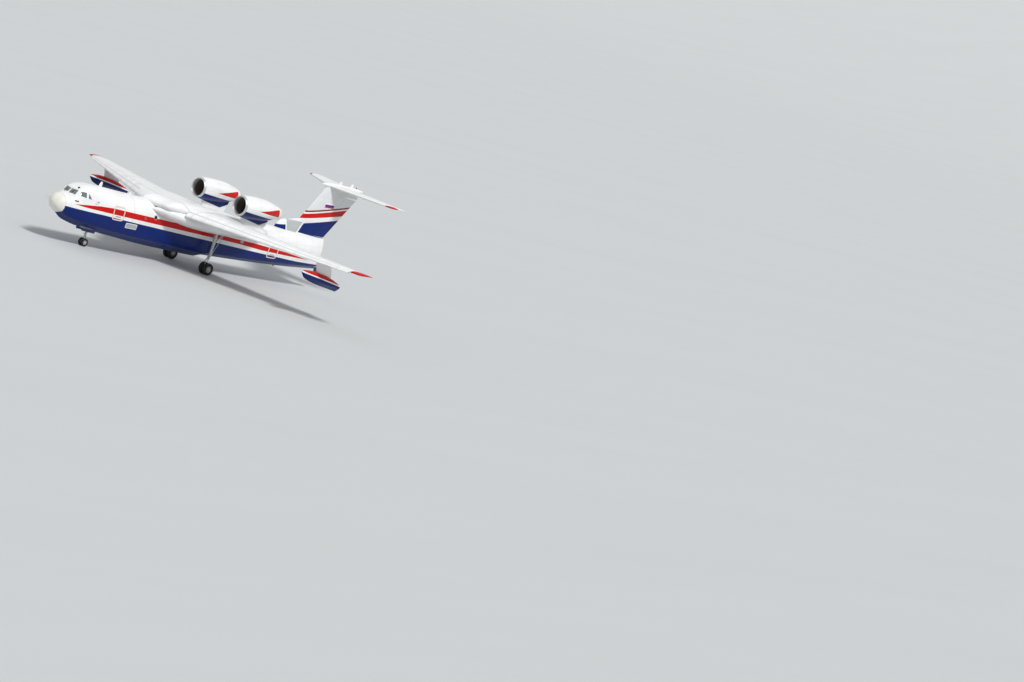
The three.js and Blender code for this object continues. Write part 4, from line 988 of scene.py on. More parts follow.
# Cockpit windows: panes let into the skin, and a raised frame round each
for way, hand in SIDES:
    side_on, front_on = on_hull(FOREBODY, way), on_brow(way)
    for label, corners, put, radius in (("windscreen", SCREEN, front_on, 0.05),
                                        ("side_window", SIDE_WINDOW, side_on, 0.06),
                                        ("quarter_window", QUARTER_WINDOW, side_on, 0.05)):
        outline = finer(rounded(corners, radius))
        piece(f"{label}_{hand}", [patch(grown(outline, 0.012), put, -0.014)], cockpit_glass,
              own=label != "quarter_window")
        piece(f"{label}_frame_{hand}", [strip(outline, put, -0.012, 0.038, 0.010)],
              white_coat)

# Doors, carried by their hinge bodies, with a painted outline round each opening


def framed(first, last, low, high, radius):
    """A rounded rectangle between two stations and two heights."""
    return rounded([(first, low), (last, low), (last, high), (first, high)], radius)


def door_leaf(put, first, last, low, high):
    """The hull's skin over a door and its copy 0.045 inside, closed at all four edges."""
    grid = np.meshgrid(np.linspace(first, last, 24), np.linspace(low, high, 24), indexing="ij")
    outer, inner = put(*grid, 0.0), put(*grid, -0.045)
    shell = sheet(np.concatenate([outer, inner[:, ::-1]], axis=1), wrap_columns=True)
    points, faces = [shell[0]], [shell[1]]
    for row, way in ((0, -1), (-1, 1)):
        faces.append(cells(2, outer.shape[1])[:, ::way] + sum(map(len, points)))
        points.append(np.concatenate([outer[row], inner[row]]))
    return np.concatenate(points), np.concatenate(faces)


for door, table, label, hinge_side, hinge_height in (
        (FRONT_DOOR, FOREBODY, "front_door", 1.3532, 2.764),
        (REAR_DOOR, AFTERBODY, "rear_door", 1.2625, 2.054)):
    first, last, low, high = door
    put = on_hull(table, 1)
    piece(label, [door_leaf(put, *door)], hull_coat, label, own=True)
    handle = framed(first + 0.2, last - 0.2, low + 0.14, low + 0.22, 0.03)
    piece(f"{label}_handle", [patch(handle, put, 0.012, thick=0.014)], mark_grey, label)
    outline = finer(framed(first - 0.03, last + 0.03, low - 0.03, high + 0.03, 0.14))
    piece(f"{label}_outline", [strip(outline, put, -0.004, 0.086, 0.004, 0.01)], door_line)
    lugs = [rod(place(at - 0.04, hinge_side, hinge_height),
                place(at + 0.04, hinge_side, hinge_height), 0.022)
            for at in (first + 0.2, last - 0.2)]
    piece(f"{label}_lugs", lugs, gear_metal)

# Nose gear bay: four walls and a roof inside the bow


def tray(first, last, inner, outer, low, roof, wall=0.02):
    """A box open below: a rounded outline carried up as a wall, and closed at the roof."""
    outline = rounded([(first, inner), (last, inner), (last, outer), (first, outer)], 0.02, 3)
    wide = grown(outline, wall)
    outside = place(*wide.T, low), place(*wide.T, roof + wall)
    inside = place(*outline.T, low), place(*outline.T, roof)
    shell = np.stack([*outside, to_middle(outside[1])])
    lined = np.stack([outside[0], *inside, to_middle(inside[1])])
    outer_faces = cells(3, len(outline), wrap_columns=True)
    inner_faces = cells(4, len(outline), wrap_columns=True)[:, ::-1] + 3 * len(outline)
    points = np.concatenate([shell.reshape(-1, 3), lined.reshape(-1, 3)])
    faces = np.concatenate([outer_faces, inner_faces])
    a, b, c, d = (points[outer_faces[:, i]] for i in range(4))
    good = np.sum(((a + c) / 2 - points.mean(axis=0)) * np.cross(c - a, d - b)) > 0
    return points, faces if good else faces[:, ::-1]


piece("nose_bay", [tray(NOSE_BAY[0], NOSE_BAY[1], -NOSE_BAY[2], NOSE_BAY[2], 0.52, NOSE_BAY[3])],
      lining)
nose_door = rounded([(3.45, 0.86), (4.85, 0.86), (4.85, 0.23), (3.45, 0.30)], 0.07)
for way, hand in SIDES:
    leaf = [place(nose_door[:, 0], way * at, nose_door[:, 1]) for at in (0.302, 0.328)]
    piece(f"nose_door_{hand}", [body(leaf)], navy_coat, own=True)

# Wings and tail: a lifting surface is a set of sections over its span

def thickness_form(share):
    """Half thickness of a four-digit section of relative thickness 1 at a share of chord."""
    return 5 * (0.2969 * np.sqrt(share) - 0.126 * share - 0.3516 * share ** 2
                + 0.2843 * share ** 3 - 0.1036 * share ** 4)


class Foil:
    """Edges over the span, and across = base + 4 camber c x (1 - x) +- round (c t form(x) +
    0.006 x) with chord c, share x and relative thickness t. Behind the hinge line a section
    turns square to it by `skew` metres inboard for each metre aft."""

    def __init__(self, edges, thickness, base, hinge, rear_slope, put, skew=lambda span: 0 * span,
                 camber=0.0, rounding=lambda span: 1 + 0 * span, stretch=1.0):
        self.edges, self.thickness, self.base, self.hinge = edges, thickness, base, hinge
        self.rear_slope, self.put, self.skew, self.camber = rear_slope, put, skew, camber
        self.rounding, self.stretch = rounding, stretch

    def level(self, station, span):
        """Middle and half thickness of the section at a station."""
        front, rear = self.edges(span)
        chord = rear - front
        share = np.clip((station - front) / chord, 0, 1)
        half = chord * self.thickness(span) * thickness_form(share) + 0.006 * share
        rise = 4 * self.camber * chord * share * (1 - share)
        return self.base(span) + rise, half * self.rounding(span)

    def at_hinge(self, span):
        """Hinge station, its height, the nose radius and the length behind it."""
        hinge = self.hinge(span)
        middle, half = self.level(hinge, span)
        reach = (self.edges(span)[1] - hinge) / (1 + self.rear_slope * self.skew(span))
        return hinge, middle, half, reach

    def skins(self, back, span, hinge):
        """Upper and lower skin `back` metres behind the hinge."""
        where = span - self.skew(span) * np.maximum(back, 0)
        middle, half = self.level(hinge + back, where)
        return hinge + back, where, middle + half, middle - half


WHOLE, COVE, SHROUD = 0, 1, 2


def ringed(foil, span, fore, aft):
    """Rings that run forward over the top, round the front edge and back below. `fore` is
    stations, middles and half thicknesses; `aft` is upper and lower stations, spans, and
    upper and lower skin."""
    station, centre, half = fore
    high_station, low_station, where, top, low = aft
    wide = np.broadcast_to(span, station.shape)
    upper = foil.put(np.hstack([high_station, station]), np.hstack([where, wide]),
                     np.hstack([top, centre + half]))
    lower = foil.put(np.hstack([station[:, -2::-1], low_station[:, ::-1]]),
                     np.hstack([wide[:, -2::-1], where[:, ::-1]]),
                     np.hstack([(centre - half)[:, -2::-1], low[:, ::-1]]))
    return body(np.concatenate([upper, lower], axis=1))


def fixed_part(foil, spans, kind, front=22, rear=12):
    """Rings of the fixed surface. Its rear is WHOLE to the trailing edge, a COVE that is an
    arc round the nose of what moves, or for a flap a wall under a SHROUD lip."""
    span, kind = np.asarray(spans, float)[:, None], np.asarray(kind)[:, None]
    hinge, middle, half, reach = foil.at_hinge(span)
    clear = 0.93 * half + 0.02
    cut = -0.34 * clear * foil.stretch
    front_edge = foil.edges(span)[0]
    station = front_edge + (hinge + cut - front_edge) * (
        1 - np.cos(np.linspace(QUARTER, 0, front)[None]))
    q = np.linspace(1, 1 / rear, rear)[None]
    share = (1 - q) / (1 - 1 / rear)
    back, where, top, low = foil.skins(cut + (reach - cut) * q, span, hinge)
    whole = back, back, where, top, low
    bend = np.radians(70) * share
    drop = np.minimum(clear * np.sin(bend), half - 0.008)
    arc = hinge - clear * foil.stretch * np.cos(bend)
    cove = arc, arc, span + 0 * q, middle + drop, middle - drop
    lip = share > 0.8
    wall_at, lip_at = hinge - 0.02, hinge + 0.055
    wall, edge = foil.level(wall_at, span), foil.level(lip_at, span)
    lip_height = edge[0] + edge[1] - np.where(share > 0.95, 0, 0.009)
    shroud = (np.where(lip, lip_at, wall_at), wall_at + 0 * q, span + 0 * q,
              np.where(lip, lip_height, wall[0] + (wall[1] - 0.022) * share / 0.8),
              wall[0] - wall[1] * np.minimum(share / 0.8, 1))
    aft = [np.where(kind == WHOLE, w, np.where(kind == COVE, c, s))
           for w, c, s in zip(whole, cove, shroud)]
    return ringed(foil, span, (station, *foil.level(station, span)), aft)


def moving_part(foil, spans, flap=False, nose=10, rear=14):
    """Rings of a control surface: behind the hinge the skin of the whole section, ahead of
    it a half circle of 0.93 of its half thickness; a flap has half an ellipse instead."""
    span = np.asarray(spans, float)[:, None]
    hinge, middle, half, reach = foil.at_hinge(span)
    bend = np.linspace(QUARTER, 0, nose)[None]
    if flap:
        depth = 0.6 * half
        station = hinge + 0.003 + depth * (1 - np.cos(bend))
        centre, thick = foil.level(station, span)
        drop = thick * np.sin(bend)
        start = depth + 0.01
    else:
        radius = 0.93 * half
        station = hinge - radius * foil.stretch * np.cos(bend)
        centre, drop = middle + 0 * bend, radius * np.sin(bend)
        start = 0.01
    back, where, top, low = foil.skins(
        start + (reach - start) * np.linspace(1, 0, rear)[None], span, hinge)
    return ringed(foil, span, (station, centre, drop), (back, back, where, top, low))


def straight(*pairs):
    """A function of the span that is straight between the given points."""
    xs, ys = zip(*pairs)
    return lambda span: np.interp(span, xs, ys)


def flat_put(station, span, across):
    """A wing's point: the span goes to the side."""
    return place(station, span, across)


def upright_put(station, span, across):
    """A fin's point: the span goes up."""
    return place(station, across, span)


def into_tip(span, tip):
    """Share of the way through a rounded tip, given by its start and its length."""
    return np.clip((span - tip[0]) / tip[1], 0, 1)


def tip_rounding(tip):
    """sqrt(1 - s^2) at a share s of the way through the tip."""
    return lambda span: np.sqrt(1 - into_tip(span, tip) ** 2)


def tip_spans(tip):
    """Spans through the tip, closer together towards its end."""
    return tip[0] + tip[1] * np.sin(np.linspace(0.15, 1, 8) * QUARTER)


WING_TIP, TAIL_TIP = (16.12, 0.27), (4.75, 0.305)
SPLIT = (10.412, 10.638)  # outer end of the flap's cove, inner end of the aileron's
WING_CAMBER = 0.012


def wing_lines(span):
    """Front and rear edge of the wing without its tip: a + b side."""
    return WING_FRONT + SWEEP * span, WING_REAR + WING_REAR_SLOPE * span


def wing_edges(span):
    """The edges drawn together over the tip by a parabola."""
    front, rear = wing_lines(span)
    drawn = 0.42 * into_tip(span, WING_TIP) ** 2
    return front + drawn, rear - drawn / 2


def wing_hinge(span):
    """At 0.70 of the chord along the flap, and 0.72 along the aileron."""
    front, rear = wing_lines(span)
    return front + (rear - front) * np.interp(span, SPLIT, [0.70, 0.72])


def wing_thickness(span):
    """0.145 amidships, less 0.03 at the tip, with straight lines between."""
    return 0.145 - 0.03 * np.abs(span) / sum(WING_TIP)


def wing_base(span):
    """Height of the chord line, which rises by 0.0075 a metre."""
    return 3.64 + 0.0075 * np.abs(span)


wing = Foil(wing_edges, wing_thickness, wing_base, wing_hinge, WING_REAR_SLOPE, flat_put,
            skew=straight((3.395, 0), (10.4, 0.2642), (10.65, 0.2594), (15.6, 0.2594),
                          (16.12, 0)),
            camber=WING_CAMBER, rounding=tip_rounding(WING_TIP))
wing_spans = np.concatenate([
    [3.3, 3.4], np.linspace(3.6, 10.3, 24), [SPLIT[0], 10.4125, 10.52, 10.6375, SPLIT[1]],
    np.linspace(10.8, 15.5, 18), [15.612, 15.6125, 15.8, 16.0, 16.12], tip_spans(WING_TIP)])
wing_kind = np.where(wing_spans <= SPLIT[0], SHROUD, np.where(
    (wing_spans >= SPLIT[1]) & (wing_spans <= 15.612), COVE, WHOLE))
wing_port = fixed_part(wing, wing_spans, wing_kind)
flap_port = moving_part(wing, np.linspace(3.396, 10.4, 24), flap=True)
aileron_port = moving_part(wing, np.linspace(10.65, 15.6, 20))

# Root fairing: how far it reaches ahead of the straight front edge. Columns: side, reach
GLOVE = [(0, 1.30), (1.43, 1.29), (1.95, 1.25), (2.35, 0.80), (2.70, 0.12), (2.85, 0), (3.3, 0)]
CENTRE_REAR = 17.1


def centre_edges(span):
    """The front edge less the root fairing's reach, and a straight rear edge."""
    reach = smooth_rows(GLOVE, np.abs(span))[..., 0]
    return WING_FRONT + SWEEP * np.abs(span) - reach, CENTRE_REAR + 0 * span


def centre_hinge(span):
    """At 0.7 of the way from the front edge without its fairing to the rear edge."""
    front = WING_FRONT + SWEEP * np.abs(span)
    return front + 0.7 * (CENTRE_REAR - front)


centre = Foil(centre_edges, wing_thickness, wing_base, centre_hinge, 0.0, flat_put,
              camber=WING_CAMBER)
centre_spans = np.linspace(-3.3, 3.3, 67)
piece("wing_centre", [fixed_part(centre, centre_spans, np.zeros(67, int), rear=20)], wing_coat,
      own=True)

# Flap tracks: a canoe whose front half is on the wing and whose rear half is on the flap


def canoe(station, span, height, form):
    """A pod along a path, 0.02 + 0.15 form wide and 0.03 + 0.22 form high."""
    return beam(place(station, span, height), 0.02 + 0.15 * form, 0.03 + 0.22 * form, edge=0.42)


def web(span, stations, heights, high):
    """A plate 0.05 thick that joins a canoe to the skin above it."""
    return beam(place(np.array(stations), span, np.array(heights)), 0.05, high)


def track(share):
    """Fixed and moving halves of a flap track at a share of the flap's span."""
    span = np.float64(3.45 + (10.4 - 3.45) * share)
    hinge, middle, _, reach = wing.at_hinge(span)
    pivot = middle - 0.33
    t = np.linspace(0, 1, 12)
    front = hinge - 1.55 + 1.40 * t
    rise, half = wing.level(front, span)
    low = rise - half
    form = np.sqrt(np.clip(1 - (1 - t) ** 2, 0, 1))
    fixed = canoe(front, span, low + 0.03 + (pivot - low - 0.03) * t ** 1.4, form)
    behind = hinge - 0.12 + (reach * 0.92 + 0.12) * t
    rise, half = wing.level(behind, span)
    taper = np.sqrt(np.clip(1 - t ** 2, 0, 1)) * np.sqrt(np.clip(1 - (1 - t) ** 14, 0, 1))
    moving = canoe(behind, span, pivot + (rise - half - 0.01 - pivot) * t ** 1.5, taper)
    return ([fixed, web(span, [hinge - 0.75, hinge - 0.16], [middle - 0.10, middle - 0.22], 0.30)],
            [moving, web(span, [hinge + 0.06, hinge + 0.45], [middle - 0.22, middle - 0.16], 0.22)])


tracks = [track(share) for share in (0.12, 0.5, 0.88)]
fixed_tracks = [shape for pair in tracks for shape in pair[0]]
moving_tracks = [shape for pair in tracks for shape in pair[1]]
for way, hand in SIDES:
    piece(f"wing_{hand}", on_side([wing_port] + fixed_tracks, way), wing_coat,
          own=True)
    piece(f"flap_{hand}", on_side([flap_port] + moving_tracks, way), wing_coat, f"{hand}_flap",
          own=True)
    piece(f"aileron_{hand}", on_side([aileron_port], way), wing_coat, f"{hand}_aileron",
          own=True)
    jack = place(14.3, way * 4.3, 3.31)
    piece(f"jack_pad_{hand}", [rod(jack, jack + [0, 0, 0.2], 0.11, edge=0.015, sides=32)],
          gear_metal)

# Tailplane and elevators
TAIL_COVE = (0.508, 4.572)


def tail_edges(span):
    """Straight edges, drawn together over the tip by parabolas."""
    drawn = into_tip(span, TAIL_TIP) ** 2
    return (TAIL_FRONT + TAIL_SLOPE * span + 0.26 * drawn,
            TAIL_REAR + TAIL_REAR_SLOPE * span - 0.10 * drawn)


def tail_hinge(span):
    """At 0.7 of the way from the straight front edge to the straight rear edge."""
    front = TAIL_FRONT + TAIL_SLOPE * span
    return front + 0.7 * (TAIL_REAR + TAIL_REAR_SLOPE * span - front)


tail = Foil(tail_edges, lambda span: 0.1 + 0 * span, lambda span: 7.72 + 0 * span, tail_hinge,
            TAIL_REAR_SLOPE, flat_put,
            skew=straight((0, 0), (0.52, 0.254), (4.56, 0.254), (4.75, 0)),
            rounding=tip_rounding(TAIL_TIP))
tail_spans = np.concatenate([
    [0, 0.25, 0.5079, TAIL_COVE[0]], np.linspace(0.7, 4.4, 14), [TAIL_COVE[1], 4.5725, 4.65, 4.75],
    tip_spans(TAIL_TIP)])
tail_kind = np.where((tail_spans >= TAIL_COVE[0]) & (tail_spans <= TAIL_COVE[1]), COVE, WHOLE)
tail_port = fixed_part(tail, tail_spans, tail_kind)
piece("stabilizer", [tail_port, mirrored(tail_port)], stabilizer_coat,
      own=True)
elevator_port = moving_part(tail, np.linspace(0.52, 4.56, 18))
for way, hand in SIDES:
    piece(f"elevator_{hand}", on_side([elevator_port], way), stabilizer_coat,
          f"{hand}_elevator", own=True)

# Fin, rudder, dorsal fairing and bullet
FIN_FOOT, FIN_REAR_SLOPE = 3.42, 0.668
FIN_COVE = (3.475, 7.07)


def fin_edges(height):
    """Straight edges: a station at the foot and a slope over the height."""
    up = height - FIN_FOOT
    return 25.04 + 0.62 * up, 29.02 + FIN_REAR_SLOPE * up


def fin_hinge(height):
    """At 0.68 of the chord."""
    front, rear = fin_edges(height)
    return 0.32 * front + 0.68 * rear


fin = Foil(fin_edges, lambda height: 0.105 + 0 * height, lambda height: 0 * height, fin_hinge,
           FIN_REAR_SLOPE, upright_put, stretch=1.194)
fin_heights = np.concatenate([
    [3.24, 3.34, 3.4749, FIN_COVE[0]], np.linspace(3.7, 6.9, 16), [FIN_COVE[1], 7.0701, 7.3, 7.66]])
fin_kind = np.where((fin_heights >= FIN_COVE[0]) & (fin_heights <= FIN_COVE[1]), COVE, WHOLE)
piece("fin", [fixed_part(fin, fin_heights, fin_kind)], tail_coat, own=True)
piece("rudder", [moving_part(fin, np.linspace(3.52, 6.98, 18))], tail_coat, "rudder",
      own=True)


def there_and_back(station, side, height):
    """Rings of one half section from the middle outwards, and its mirror image back."""
    return np.concatenate([place(station, side, height),
                           place(station, -side, height)[:, ::-1]], axis=1)


DORSAL = [(23.38, 3.72, 0.06), (23.62, 4.08, 0.13), (23.95, 4.30, 0.165), (24.9, 4.47, 0.175),
          (25.9, 4.66, 0.175), (26.3, 4.70, 0.17)]  # station, top, half width
DORSAL_FOOT = 3.2
dorsal_stations = spaced(23.38, 23.62, 23.95, 26.3, step=0.09)[:, None]
dorsal_top, dorsal_half = np.moveaxis(smooth_rows(DORSAL, dorsal_stations), -1, 0)
dorsal_form = curve_through([(1.5, 0), (1.15, 0.6), (0.8, 0.90), (0, 1.0)], 6).T  # shares
piece("dorsal_fairing",
      [body(there_and_back(dorsal_stations, dorsal_half * dorsal_form[0],
                           DORSAL_FOOT + (dorsal_top - DORSAL_FOOT) * dorsal_form[1]))],
      tail_coat, own=True)

BULLET = [(27.05, 0), (27.12, 0.045), (27.25, 0.088), (27.9, 0.183), (29.2, 0.228),
          (30.8, 0.188), (31.7, 0.094), (32.0, 0.022), (32.05, 0)]


def turned_line(points, steps):
    """A curve through stations and radii that stays between its ends and off the axis."""
    curve = curve_through(points, steps)
    return np.clip(curve, [points[0][0], 0], [points[-1][0], np.inf])


piece("tail_bullet", [turned_x(turned_line(BULLET, 6), 0, 7.77, sides=48)], white_coat,
      own=True)

# Gear pods: elliptical sections, open below along the wheel bay
POD = [(9.0, 1.05, 3.20, 0.06, 0.045), (9.8, 1.45, 3.18, 0.45, 0.30),
       (10.8, 1.87, 3.14, 0.81, 0.51), (12.2, 2.20, 3.09, 1.03, 0.62),
       (14.0, 2.31, 3.06, 1.08, 0.65), (16.0, 2.31, 3.05, 1.04, 0.65),
       (18.0, 2.27, 3.08, 0.84, 0.56), (19.5, 2.08, 3.14, 0.56, 0.42),
       (21.0, 1.70, 3.20, 0.22, 0.18)]  # station, side, height, half breadth, half height
BAY = (14.95, 17.3, 1.75, 2.55, 3.08)  # stations, sides, roof


def pod_skin(bay_lanes=8, other_lanes=44):
    """Ellipses side + w sin t, height - h cos t. The first lanes run over the bay's width and
    are left out along the bay; the others go round the rest."""
    stations = spaced(9.0, 9.8, BAY[0], BAY[1], 21.0, step=0.16)
    side, height, wide, high = np.moveaxis(smooth_rows(POD, stations[:, None]), -1, 0)
    first, last = (np.arcsin(np.clip((edge - side) / wide, -0.75, 0.75)) for edge in BAY[2:4])
    last = np.maximum(last, first + 0.2)
    turn = np.concatenate([
        first + (last - first) * np.linspace(0, 1, bay_lanes, endpoint=False),
        last + (2 * np.pi - last + first) * np.linspace(0, 1, other_lanes, endpoint=False)], axis=1)
    points = place(stations[:, None], side + wide * np.sin(turn), height - high * np.cos(turn))
    points = np.concatenate([to_middle(points[0])[None], points, to_middle(points[-1])[None]])
    keep = np.ones((len(points) - 1, points.shape[1]), bool)
    middle = (stations[:-1] + stations[1:]) / 2
    open_rows = np.where((middle > BAY[0]) & (middle < BAY[1]))[0] + 1
    keep[np.ix_(open_rows, np.arange(bay_lanes))] = False
    return sheet(points, keep=keep, wrap_columns=True)


pod_shell = pod_skin()
bay_tray = tray(*BAY[:4], 2.54, BAY[4])
for way, hand in SIDES:
    piece(f"gear_pod_{hand}", on_side([pod_shell], way), white_coat,
          own=True)
    piece(f"gear_bay_{hand}", on_side([bay_tray], way), lining)

# Engines: lip, cowling, nozzle and duct round a core, with a fan in front
lip_line = curve_through([(16.62, 0.812), (16.56, 0.793), (16.505, 0.765), (16.454, 0.725),
                          (16.480, 0.688), (16.65, 0.657), (16.85, 0.672)], 8)
cowl_line = curve_through([(16.62, 0.812), (16.80, 0.850), (17.5, 0.895), (18.5, 0.875),
                           (19.4, 0.785), (20.45, 0.543)], 10)
nozzle_line = curve_through([(20.45, 0.543), (20.62, 0.492), (20.78, 0.440)], 6)
nozzle_inside = curve_through([(20.78, 0.405), (20.55, 0.451), (20.3, 0.500)], 6)
duct_line = curve_through([(16.85, 0.672), (17.0, 0.690), (18.2, 0.700), (19.3, 0.640),
                           (20.3, 0.500)], 10)
core_line = curve_through([(17.72, 0.0), (17.72, 0.20), (17.76, 0.30), (17.95, 0.415),
                           (18.4, 0.452), (19.0, 0.460), (20.0, 0.285), (20.6, 0.115),
                           (20.84, 0.0)], 8)
core_line = np.clip(core_line, [17.72, 0], [20.85, np.inf])
spinner_line = np.array([(17.305, 0.0), (17.315, 0.045), (17.35, 0.10), (17.40, 0.152),
                         (17.47, 0.20), (17.55, 0.230), (17.69, 0.233), (17.69, 0.0)])


def with_back(outline, thick):
    """The outline and its copy at a radius less by `thick`, as one closed loop."""
    return np.concatenate([outline, (outline - [0, thick])[::-1]])


def blade(station, side, turn, roots, chords, pitches, thick):
    """A blade from root to tip: at radius r a section u = c/2 cos t, v = d/2 sin t + arch,
    turned by the pitch p to u cos p - v sin p aft and u sin p + v cos p sideways."""
    t = np.linspace(0, 1, 9)[:, None]
    radius, chord, pitch = (first + (last - first) * t for first, last in (
        roots, chords, np.radians(pitches)))
    round_turn = np.linspace(0, 2 * np.pi, 14, endpoint=False)[None]
    u = chord / 2 * np.cos(round_turn)
    v = thick * (1 - 0.5 * t) / 2 * np.sin(round_turn) + 0.07 * chord * (1 - (2 * u / chord) ** 2)
    aft = u * np.cos(pitch) - v * np.sin(pitch)
    off = u * np.sin(pitch) + v * np.cos(pitch)
    return body(place(station + aft, side + radius * np.cos(turn) - off * np.sin(turn),
                      ENGINE_HEIGHT + radius * np.sin(turn) + off * np.cos(turn)))


def blades(count, station, side, *form):
    """A ring of blades."""
    return [blade(station, side, turn, *form)
            for turn in np.arange(count) * (2 * np.pi / count)]


def ray(station, side, turn, first, last, radius):
    """A rod between two distances from the engine's axis."""
    return rod(*(place(station, side + at * np.cos(turn), ENGINE_HEIGHT + at * np.sin(turn))
                 for at in (first, last)), radius)


def engine_ring(outline, side):
    """A closed outline turned about the engine's axis."""
    return turned_x(outline, side, ENGINE_HEIGHT, closed=True, sides=96)


for way, hand in SIDES:
    side = way * ENGINE_SIDE
    piece(f"nacelle_{hand}", [engine_ring(with_back(cowl_line, 0.025), side)], nacelle_coat,
          own=True)
    piece(f"inlet_lip_{hand}", [engine_ring(lip_line, side)], lip_metal,
          sharp=60)
    piece(f"nozzle_{hand}", [engine_ring(np.concatenate([nozzle_line, nozzle_inside]), side)],
          cream_coat)
    piece(f"inlet_duct_{hand}", [engine_ring(with_back(duct_line + [0, 0.012], 0.012), side)],
          duct_metal)
    struts = [ray(18.4, side, turn, 0.40, 0.70, 0.055) for turn in np.arange(4) * QUARTER]
    vanes = blades(32, 18.12, side, (0.40, 0.697), (0.16, 0.16), (-12, -12), 0.012)
    piece(f"engine_{hand}",
          [turned_x(core_line, side, ENGINE_HEIGHT)] + struts + vanes, engine_metal,
          own=True)
    fan_blades = blades(22, 17.585, side, (0.20, 0.674), (0.15, 0.17), (25, 52), 0.022)
    piece(f"fan_{hand}", [turned_x(spinner_line, side, ENGINE_HEIGHT)] + fan_blades, fan_metal,
          f"{hand}_fan", own=True)


def strut_rings(rows, side, wide=1.0, heights=14):
    """A streamlined strut. Rows: height, leading station, trailing station, thickness."""
    rows = np.asarray(rows, float)
    level = np.linspace(rows[0, 0], rows[-1, 0], heights)
    front, rear, thick = smooth_rows(rows, level).T[:, :, None]
    share = (1 - np.cos(np.linspace(0, 1, 20) * np.pi)) / 2
    station = front + (rear - front) * share
    half = ((rear - front) * thick * thickness_form(share) + 0.006 * share) * wide
    return body(np.concatenate([
        place(station, side + half, level[:, None]),
        place(station, side - half, level[:, None])[:, -2::-1]], axis=1))


for way, hand in SIDES:
    piece(f"engine_pylon_{hand}",
          [strut_rings([(3.25, 17.6, 19.7, 0.1267), (3.9, 17.2, 20.0, 0.1333),
                        (4.7, 16.95, 20.2, 0.1333)], way * 2.38, wide=0.74)], nacelle_coat,
          own=True)

# Floats: a V bottom up to a hard chine, and round sides over to the deck. Columns: station,
# half breadth, deck height, chine height, keel height
FLOATS = [(14.72, 0.06, 2.64, 2.58, 2.52), (15.08, 0.26, 2.75, 2.42, 2.18),
          (15.8, 0.40, 2.79, 2.25, 1.95), (16.87, 0.45, 2.71, 2.08, 1.78),
          (17.94, 0.43, 2.49, 1.98, 1.66), (18.82, 0.36, 2.19, 1.88, 1.56)]
FLOAT_SIDE = 12.8
CHINE_SHARE = 0.92  # of the half breadth


def float_shapes():
    """The float and its two chine rails. From the chine the side curves through shares of the
    half breadth and of the way from the chine to the deck."""
    stations = np.concatenate([14.72 + 0.36 * np.linspace(0, 1, 10) ** 1.5,
                               spaced(15.08, 15.8, 16.87, 17.94, 18.82, step=0.11)[1:]])
    half, deck_h, chine, keel = np.moveaxis(smooth_rows(FLOATS, stations), -1, 0)
    depth = deck_h - chine
    shoulder = deck_h - depth * 0.35
    knots = np.stack([(CHINE_SHARE * half, chine), (half, (chine + shoulder) / 2),
                      (0.95 * half, shoulder), (0.62 * half, deck_h - depth * 0.08),
                      (0 * half, deck_h)])
    over = curve_through(knots.reshape(len(knots), -1), 6).reshape(-1, 2, len(stations))
    v_share = np.linspace(0, 1, 7)[:-1, None]
    side = np.concatenate([CHINE_SHARE * half * v_share, over[:, 0]]).T
    side = np.minimum(side, half[:, None])
    height = np.concatenate([keel + (chine - keel) * v_share, over[:, 1]]).T
    aft = slice(3, None)
    rails = [tube(place(stations[aft], way * (CHINE_SHARE * half + 0.004)[aft],
                        (chine - 0.006)[aft]), 0.012, 8) for way, _ in SIDES]
    out = np.array([0, FLOAT_SIDE, 0])
    hull, *rails = [(points + out, faces) for points, faces in [
        body(there_and_back(stations[:, None], side, height))] + rails]
    return hull, rails


float_hull, float_rails = float_shapes()
float_strut = strut_rings([(2.4, 16.35, 17.95, 0.12), (3.1, 16.08, 17.76, 0.12),
                           (3.68, 15.85, 17.21, 0.12)], FLOAT_SIDE)
for way, hand in SIDES:
    piece(f"float_{hand}", on_side([float_hull], way), float_coat,
          own=True)
    piece(f"float_rail_{hand}", on_side(float_rails, way), navy_coat)
    piece(f"float_pylon_{hand}", on_side([float_strut], way), white_coat,
          own=True)

# Slats: the wing's front skin as a shell, run out ahead of the fixed front edge. A section
# point p, measured from the front edge, becomes R p + (-0.070, -0.061) chord, where R turns
# the nose down by 16.5 degrees; the inner skin lies a thickness of 0.014 chord x sin(pi u) inside
SLAT_TURN = np.radians(16.5)


def slat_shape(first, last, count):
    """A closed shell over the spans from first to last, in rings of outer and inner skin."""
    span = np.linspace(first, last, count)[:, None]
    front, rear = wing_lines(span)
    chord = rear - front
    u = np.linspace(0, 1, 25)[None]
    share = np.where(u < 0.68, 0.24 * (1 - u / 0.68) ** 2, 0.05 * ((u - 0.68) / 0.32) ** 2)
    rise, half = wing.level(front + share * chord, span)
    rise = rise - wing.base(span)
    up = rise + np.where(u < 0.68, half, -half)
    back = share * chord
    along_b, along_u = np.gradient(back, axis=1), np.gradient(up, axis=1)
    size = np.hypot(along_b, along_u)
    thick = 0.014 * chord * np.sin(np.pi * u) + 0.003
    inner_back, inner_up = back - along_u / size * thick, up + along_b / size * thick
    ring_b = np.hstack([back, inner_back[:, ::-1]])
    ring_u = np.hstack([up, inner_up[:, ::-1]])
    turned_b = ring_b * np.cos(SLAT_TURN) - ring_u * np.sin(SLAT_TURN) - 0.070 * chord
    turned_u = ring_u * np.cos(SLAT_TURN) + ring_b * np.sin(SLAT_TURN) - 0.061 * chord
    return body(place(front + turned_b, span, wing.base(span) + turned_u))


def slat_arm(span):
    """A short bar from inside the fixed front edge to the slat's inner skin."""
    front, rear = wing_edges(np.float64(span))
    chord, level = rear - front, wing.base(span)
    return rod(place(front + 0.03 * chord, span, level - 0.004 * chord),
               place(front - 0.054 * chord, span, level - 0.045 * chord), 0.028)


